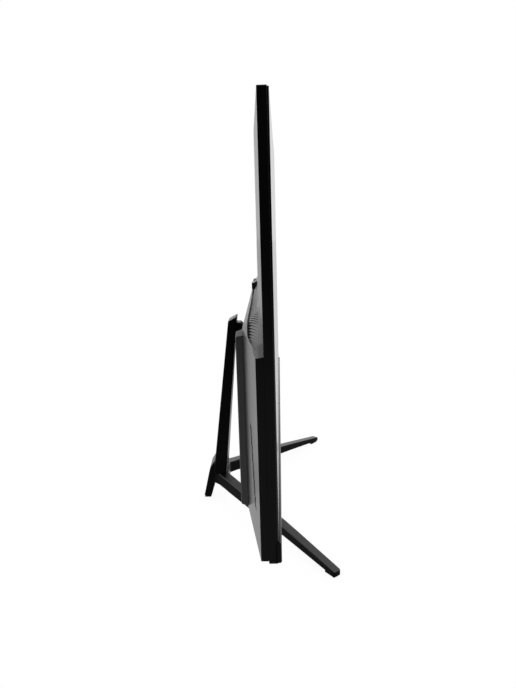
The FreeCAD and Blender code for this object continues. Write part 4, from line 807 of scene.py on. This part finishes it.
def grille(name, side):
    """All slats of one grille. The share of the band starts at the lower limit over the foot and
    grows by the climb for each millimetre outwards. A slat ends at the first tried place whose
    share passes the upper limit, or at the outer end. The feet beyond the inner end only serve
    slats that are cut off there. The section is a flat bar with two chamfers."""
    foot = slat_feet[:, None]
    tried = np.linspace(0, 60, 241)
    start = vent_limits(np.maximum(foot, vent_places[0]))[0] - slat_overlap
    met = start + slat_climb * tried > vent_limits(foot + tried)[1] + slat_overlap
    head = tried[np.argmax(met | (foot + tried > slat_outer), 1)][:, None]
    tail = np.maximum(slat_inner - foot, 0)
    way = tail + (head - tail) * np.linspace(0, 1, 10)
    x = (foot + way)[..., None] + slat_section[:, 0]
    share = (start + slat_climb * way)[..., None]
    return skin(name, on_head(side * x, *band_at(x, share, slat_section[:, 1] - slat_sink)))


for side, word in ((-1, "left"), (1, "right")):
    slats = grille("vent_slats_" + word, side)
    hand_over(slats, "head", ["vent_grille_" + word], black_satin)
    tray = vent_plate("vent_tray_" + word, side, tray_grow, -tray_front, -tray_back)
    hand_over(tray, "head", [], black_satin)

# %% [markdown]
# The dark centre block is a shallow tray with drawn-in walls and a pocket that is open at the top
# for the stand's bracket. Its outline isn't convex, so a box with bevels can't give it. It is made
# as a plate between two outlines, softened, hollowed, and cut for what comes through it.

# %% Centre block
block_wall, block_swell, block_draft, room_draft = 2.0, 0.2, 1.7, 1.5
seat_gap, well_radius, well_start, stick_hole_radius, mouth_gap = 0.02, 3.1, 32.1, 5.2, 0.75
block_corners = np.array([(floor_half, block_low), (floor_half, 170.5), (203.0, block_high),
                          (65.0, 131.0), (65.0, 58.0)])
block_inward = np.array([(-1, 1), (-1, -1), (-0.4, -1), (1, -1.3), (1, -1)])
joystick_x, control_s, _ = head_box("joystick_cap").mean(0)
key_places = {title: head_box(title)[:, 0].mean() for title in ("power_button", "hotkey_button")}
key_half_x, key_half_s, key_gap = 5.95, 2.95, 0.3


def block_plate(name, inset, draft, low, high):
    """A plate from depth low to high. Its outline is five corners and their mirror images, each
    moved inwards by inset times its own way, and by the draft more at the high end."""
    ends = []
    for drawn, depth in ((inset, low), (inset + draft, high)):
        right = block_corners + drawn * block_inward
        outline = np.concatenate([right, (right * [-1, 1])[::-1]])
        ends.append(on_head(outline[:, 0], outline[:, 1], depth))
    return skin(name, ends)


centre_block = block_plate("centre_block_shell", -block_swell, block_draft, floor_depth - 1.0,
                           block_depth)
soften(centre_block, width=1.3, angle=20.0)
tools = [block_plate("room", block_wall, room_draft, floor_depth - 3.0, block_depth - block_wall),
         block("seat", -floor_half - beyond, floor_half + beyond, -beyond, block_high + beyond,
               inside_t, floor_depth + seat_gap),
         drill("screw_wells", cover_screw_places, well_radius, well_start),
         drill("stick_hole", [(joystick_x, control_s)], stick_hole_radius, sides=48),
         hole(lock_x, lock_s, lock_half_x, lock_half_s), *mouths(mouth_gap)]
for x in key_places.values():
    tools.append(hole(x, control_s, key_half_x + key_gap, key_half_s + key_gap))
carve(centre_block, tools)
hand_over(centre_block, "head", ["block_cover"], deep_satin, angle=24.0)

# %% [markdown]
# The controls are small but they are touched, so they get real shapes instead of plain cylinders:
# two lozenge buttons with soft edges and a shallow dish, and a round stick cap with a ring of grip
# notches. A turned shape is a profile of radius and depth spun about its axis, and the notches
# are a cosine on the radius.

# %% Buttons and stick cap
key_root, key_top, key_dish = 29.0, block_depth + 1.0, 0.35


def dished_button(name, x):
    """A rounded plate whose top sinks in the middle: the last outlines shrink towards the centre
    while their depth falls by the square of the distance that is left."""
    outline = rounded_rectangle(key_half_x, -key_half_s, key_half_s, radius=2.2, steps=5)
    rows = slab_rows(outline, key_root, key_top, edge=0.7, steps=4)
    shrink = np.array([0.75, 0.45, 0.15])[:, None, None]
    sunk = np.broadcast_to(key_top - key_dish * (1 - shrink ** 2), (3, len(outline), 1))
    dish = np.concatenate([rows[-1:, :, :2] * shrink, sunk], -1)
    return head_skin(name, np.concatenate([rows, dish]) + [x, control_s, 0])


for title, x in key_places.items():
    hand_over(dished_button(title + "_key", x), title, [title], deep_satin)

profile = np.array([(3.4, 33.2), (3.4, 37.3), (5.2, 37.5), (6.5, 37.65), (7.0, 38.2), (7.0, 39.9),
                    (6.75, 40.6), (6.1, 41.05), (5.2, 41.0), (3.5, 40.6), (1.8, 40.4),
                    (0.5, 40.35)])
grip_count, grip_half_depth, grip_radius, grip_start = 24, 0.16, 6.4, 37.7
turn = np.linspace(0, 2 * math.pi, 96, endpoint=False)
gripped = (profile[:, :1] > grip_radius) & (profile[:, 1:] > grip_start)
radius = profile[:, :1] - grip_half_depth * (1 + np.cos(grip_count * turn)) * gripped
stick_cap = skin("stick_cap", on_head(joystick_x + radius * np.cos(turn),
                                      control_s + radius * np.sin(turn), profile[:, 1:]))
hand_over(stick_cap, "joystick_cap", ["joystick_cap"], soft_rubber)

# %% [markdown]
# ## The stand
# The base is a V of two long legs. The top of each leg falls in a straight slope from the rear to
# the tip, so the hub's top is two planes that meet over x = 0. The column and the hub both need
# these planes, so the legs' measures come first: width, top and underside at the root, at the knee
# and at the tip.

# %% Measures of the stand
leg_turn = math.radians(38.72)
leg_way = np.array([-math.cos(leg_turn), -math.sin(leg_turn)])
leg_side = np.array([-leg_way[1], leg_way[0]])
leg_root = np.array([-38.1, 47.0])
leg_widths, leg_tops, leg_unders = [13.4, 11.5, 9.8], [38.0, 22.7, 7.5], [23.4, 12.2, 2.0]
knee = 108.0
front_reach = -corners_of("left_leg")[0, 1]
leg_length = (leg_root[1] + front_reach + leg_side[1] * leg_widths[2]) / -leg_way[1]
top_fall = (leg_tops[0] - leg_tops[1]) / knee
under_fall = (leg_unders[0] - leg_unders[1]) / knee


def hub_height(x, y, root_z, fall):
    """Height of a plane that falls along the leg: z at the leg's root, less the fall times the
    distance that the point lies along the leg. Both sides are alike, so x counts without sign."""
    along = (leg_root[0] + np.abs(x)) * -leg_way[0] + (y - leg_root[1]) * leg_way[1]
    return root_z - fall * along


print("legs", round(leg_length, 1), "mm long")

# %% [markdown]
# The column leans towards the screen and narrows upwards. It is a shell with a front strip and a
# cap on top. It could be one tapered box, but its foot has to follow the two planes and its cap a
# slanted one, so each point of its outline climbs a straight line of its own between them.

# %% Column
level_low, level_rise = 46.0, 198.0
front_low, front_high, rear_low, rear_high = 49.5, 30.3, 65.9, 40.5
half_low, half_fall = 21.0, 9.0
foot_half, foot_z, foot_sink = 21.2, 42.0, 0.4
top_slope, top_height, cap_thickness = 0.49, 261.35, 2.15
mean_half, mean_depth = 16.5, 14.0
strip_end, shell_start = 0.118, 0.13
seam_round, rear_round, strip_round, cap_round = 0.3, 2.2, 1.1, 1.3


def column_rows(outline, levels):
    """Rows of a column piece. The outline's first number is the side, as a share of the half width,
    and its second the depth, 0 at the front line and 1 at the rear one. Each line is known at two
    levels, and the half width falls evenly between them. A row (share, drop, inset) is a share of
    the way from the hub's plane to the plane drop below the cap's top, drawn in by inset."""
    side, depth = outline[:, 0], outline[:, 1]
    low_y = front_low * (1 - depth) + rear_low * depth
    high_y = front_high * (1 - depth) + rear_high * depth
    lean = (high_y - low_y) / level_rise
    start = low_y - lean * level_low
    low = hub_height(foot_half * side, start + foot_z * lean, leg_tops[0], top_fall) - foot_sink
    rows = []
    for share, drop, inset in levels:
        high = (top_height - drop - top_slope * start) / (1 + top_slope * lean)
        z = low + (high - low) * share
        half = half_low - half_fall * (z - level_low) / level_rise
        y, middle = start + lean * z, start.mean() + lean.mean() * z
        pull = inset / np.maximum(half, 1)
        rows.append(np.stack([side * (half - inset), y + (middle - y) * pull, z], -1))
    return rows


def column_piece(name, node_name, front, rear, rounds, levels):
    """A piece whose outline is a rounded trapezoid between two depths. Its front and rear rounds
    are given in millimetres, at the column's mean half width and depth."""
    size = [mean_half, mean_depth]
    corners = np.array([(-1, front), (1, front), (1, rear), (-1, rear)]) * size
    outline = rounded(corners, np.repeat(rounds, 2), 5) / size
    piece = skin(name, column_rows(outline, levels))
    hand_over(piece, "stand", [node_name], stand_satin)


shell_levels = [(share, cap_thickness, 0.0) for share in np.linspace(0, 1, 12)]
cap_levels = [(0.991, 0.0, 0.25), (0.9915, 0.0, 0.0), (0.9965, 0.0, 0.0), (0.9985, 0.0, 0.35),
              (1.0, 0.0, 1.1)]
column_piece("column_rear_shell", "column_shell", shell_start, 1.0, (seam_round, rear_round),
             shell_levels)
column_piece("column_front_strip", "column_front_cover", 0.0, strip_end,
             (strip_round, seam_round), shell_levels)
column_piece("column_top_plate", "column_top_cap", 0.0, 1.0, (cap_round, rear_round), cap_levels)

# %% [markdown]
# The neck is one cast arm: a round knuckle for the tilt pin and a bar with a flat top that goes
# into the column. A cylinder and a box would leave a seam, so its side view is one outline, an arc
# and six corners, carried across the width.

# %% Neck arm
hinge_s, hinge_t, knuckle_radius = 130.0, 39.0, 7.5
neck_half, neck_edge = 8.0, 1.0


def across_rows(outline, half, edge):
    """A side view in y and z, carried from one side to the other with rounded rims."""
    return slab_rows(outline, -half, half, edge)[..., [2, 0, 1]]


hinge = on_head(0, hinge_s, hinge_t)[1:]
turn = np.radians(np.linspace(100, 262, 14))
knuckle = hinge + knuckle_radius * np.stack([np.cos(turn), np.sin(turn)], 1)
bar = np.array([(24.5, 213.6), (27.0, 213.0), (36.4, 213.0), (36.4, 238.6), (25.6, 238.6),
                (23.4, 236.4)])
neck = skin("neck_arm_bar", across_rows(np.concatenate([knuckle, bar]), neck_half, neck_edge))
hand_over(neck, "stand", ["neck_arm"], stand_satin)

# %% [markdown]
# A leg is a section that changes along its way: it gets narrower, lower and closer to the table
# towards the tip, with a soft knee on the way. Two straight boxes would show a crease there, so
# one skin runs through all sections. Its top edges are rounded, because that is where the real leg
# catches a clear line of light.

# %% Legs
knee_reach, body_rows = 22.0, 42
tip_ways, tip_draws = np.array([1.4, 0.7, 0.2, 0.0]), [0.25, 0.6, 1.2, 1.9]
under_round, top_round = 0.04, 0.11


def leg_rows():
    """Sections along the leg. Width, top and underside are read between three places. Round the
    knee they blend into an average over nearby places, and the last sections draw in to close the
    tip."""
    way = np.concatenate([np.linspace(-0.4, leg_length - 2.2, body_rows), leg_length - tip_ways])
    near = way[:, None] + np.linspace(-knee_reach, knee_reach, 9)
    table, values = [0.0, knee, leg_length], (leg_widths, leg_tops, leg_unders)
    exact = [np.interp(way, table, v) for v in values]
    smooth = [np.interp(near, table, v).mean(1) for v in values]
    blend = np.clip(2 - np.abs(way - knee) / knee_reach, 0, 1)
    width, top, low = [e + (s - e) * blend for e, s in zip(exact, smooth)]
    draw = np.concatenate([np.zeros(body_rows), tip_draws])
    unit = rounded([(0, 0), (1, 0), (1, 1), (0, 1)], [under_round] * 2 + [top_round] * 2)
    across_leg = draw[:, None] + unit[:, 0] * (width - 2 * draw)[:, None]
    z = low[:, None] + unit[:, 1] * (top - low - draw)[:, None]
    flat = leg_root + leg_way * way[:, None, None] + leg_side * across_leg[..., None]
    return np.concatenate([flat, z[..., None]], -1)


leg_grid = leg_rows()
for side, word in ((1, "left"), (-1, "right")):
    leg = skin(word + "_leg_bar", leg_grid * [side, 1, 1])
    hand_over(leg, "stand", [word + "_leg"], stand_satin)

# %% [markdown]
# The hub joins the legs under the column. A box can't follow the two sloping planes, so its plan is
# drawn once and each corner's height comes from the planes. Wells underneath take the base screw
# and the leg screws.

# %% Hub
web_y, hub_rear_y, hub_rear_half = 47.8, 66.2, 17.5
inner_root = leg_root + leg_side * leg_widths[0]
web_x = inner_root[0] + (web_y - inner_root[1]) * leg_way[0] / leg_way[1]
hub_flank = (-21.9, 60.0)
half_plan = np.array([(0.0, hub_rear_y), (-hub_rear_half, hub_rear_y), hub_flank, leg_root,
                      inner_root, (web_x, web_y), (0.0, web_y)])
plan = np.concatenate([half_plan, (half_plan[1:-1] * [-1, 1])[::-1]])
corners, half_count = len(plan), len(half_plan)
points = np.concatenate([np.column_stack([plan, hub_height(plan[:, 0], plan[:, 1], z, fall)])
                         for z, fall in ((leg_tops[0], top_fall), (leg_unders[0], under_fall))])
i = np.arange(corners)
faces = np.stack([i, (i + 1) % corners, (i + 1) % corners + corners, i + corners], 1).tolist()
for start in (0, corners):
    faces += [[start + k for k in range(half_count)],
              [start + k % corners for k in range(half_count - 1, corners + 1)]]
hub = soften(make_object("hub_body", points, faces), width=1.1, angle=25.0)


def well(x, y, radius, height, sides=40):
    """A round tool from the table up to the given height."""
    turn = np.linspace(0, 2 * math.pi, sides, endpoint=False)
    ring = np.stack([x + radius * np.cos(turn), y + radius * np.sin(turn)], 1)
    return skin("well", [np.column_stack([ring, np.full(sides, z)]) for z in (0.0, height)])


base_screw_y, base_well_radius, base_well_top = 57.0, 7.8, 31.5
leg_screw_x, leg_screw_y, leg_well_radius, leg_well_top = 27.5, 46.96, 3.8, 26.7
carve(hub, [well(0, base_screw_y, base_well_radius, base_well_top),
            well(-leg_screw_x, leg_screw_y, leg_well_radius, leg_well_top),
            well(leg_screw_x, leg_screw_y, leg_well_radius, leg_well_top)])
hand_over(hub, "stand", ["base_hub"], stand_satin)

# %% [markdown]
# The rear foot is a side view carried across the width, as the neck is. It narrows downwards like
# the legs do, so each point's distance from the middle is scaled by its height.

# %% Rear foot
foot_view = rounded([(66.2, 26.2), (66.2, 43.4), (64.75, 55.6), (65.9, 56.0), (71.6, 47.0),
                     (73.2, 41.2), (82.5, 2.0), (72.6, 2.0), (68.3, 16.6), (67.0, 20.5)],
                    [0.05, 0.05, 0.3, 0.8, 1.5, 3.0, 1.2, 1.2, 2.5, 1.5], 5)
foot_top_half, foot_low_half, foot_edge = 17.0, 6.0, 1.4
narrow_z, wide_z = 2.0, 44.0
rows = across_rows(foot_view, foot_top_half, foot_edge)
rows[..., 0] *= np.interp(rows[..., 2], [narrow_z, wide_z], [foot_low_half / foot_top_half, 1.0])
hand_over(skin("rear_foot_wedge", rows), "stand", ["rear_foot"], stand_satin)

# %% [markdown]
# ## Light and background
# Black plastic shows the room, so the room is arranged like a product studio. A white floor under
# lamps would turn grey, so this one glows for the rays that come from the camera, and at three
# quarters of that for mirrored rays. It keeps a faint shadow near the feet. What lies behind the
# camera is dark: a black card stands there that only reflections can see.

# %% Floor and card


def stage_plane(name, corners, material):
    """A flat sheet of the studio, not part of the monitor."""
    mesh = bpy.data.meshes.new(name)
    mesh.from_pydata(corners, [], [(0, 1, 2, 3)])
    mesh.materials.append(material)
    sheet = bpy.data.objects.new(name, mesh)
    bpy.context.collection.objects.link(sheet)
    return sheet


shadow_reach, shadow_tone, mirrored_tone, floor_half_side = 0.03, 0.94, 0.75, 6
floor_white, tree, shader = new_material("studio floor")
feed(tree, shader, Base_Color=(0.8, 0.8, 0.8, 1), Roughness=0.9)
near_feet = node(tree, "AmbientOcclusion", {"samples": 8}, Distance=shadow_reach).outputs["AO"]
soft_shadow = ramp(tree, near_feet, 0.2, 0.9, shadow_tone)
ray = node(tree, "LightPath").outputs
brightness = ramp(tree, ray["Is Camera Ray"], 0.0, 1.0, mirrored_tone)
glow = node(tree, "Emission", Strength=maths(tree, "MULTIPLY", soft_shadow, brightness))
direct = maths(tree, "MAXIMUM", ray["Is Camera Ray"], ray["Is Glossy Ray"])
mix = node(tree, "MixShader", Fac=direct)
tree.links.new(shader.outputs[0], mix.inputs[1])
tree.links.new(glow.outputs[0], mix.inputs[2])
feed(tree, tree.nodes["Material Output"], Surface=mix.outputs[0])
stage_plane("floor", [(x * floor_half_side, y * floor_half_side, 0)
                      for x, y in ((-1, -1), (1, -1), (1, 1), (-1, 1))], floor_white)

card_black, tree, shader = new_material("black card")
feed(tree, shader, Base_Color=(0.01, 0.01, 0.01, 1), Roughness=1.0)
card_x, card_front, card_back, card_top = -1.6, -2.4, 2.0, 3.0
card = stage_plane("dark_card", [(card_x, card_front, 0.0), (card_x, card_back, 0.0),
                                 (card_x, card_back, card_top), (card_x, card_front, card_top)],
                   card_black)
for kind in ("camera", "diffuse", "shadow", "transmission"):
    setattr(card, "visible_" + kind, False)
print("floor and card ready")

# %% [markdown]
# The world is white too: in full for the camera, for mirrored rays and for rays through clear
# sheets, and a little less as a source of light. Two large soft lamps add a gentle direction. More
# lamps would leave spots on the satin surfaces.

# %% World and lamps
sky_as_light, lamp_target = 0.6, Vector((0, 0, 0.25))
world = bpy.data.worlds.new("studio")
bpy.context.scene.world = world
world.use_nodes = True
tree = world.node_tree
tree.nodes.clear()
ray = node(tree, "LightPath").outputs
direct = maths(tree, "MAXIMUM", ray["Is Camera Ray"], ray["Is Glossy Ray"])
direct = maths(tree, "MAXIMUM", direct, ray["Is Transmission Ray"])
strength = ramp(tree, direct, 0.0, 1.0, sky_as_light)
sky = node(tree, "Background", Color=(1, 1, 1, 1), Strength=strength)
node(tree, "OutputWorld", Surface=sky.outputs[0])


def softbox(name, place, size, watts):
    """A square lamp that looks at the middle of the monitor."""
    lamp = bpy.data.lights.new(name, "AREA")
    lamp.size = size
    lamp.energy = watts
    box = bpy.data.objects.new(name, lamp)
    box.location = place
    box.rotation_euler = (lamp_target - box.location).to_track_quat("-Z", "Y").to_euler()
    bpy.context.collection.objects.link(box)


softbox("key", (0.6, 1.6, 1.9), 1.2, 18)
softbox("fill", (0.9, -1.7, 1.4), 1.4, 12)
bpy.context.scene.view_settings.view_transform = "Standard"
print("studio ready")
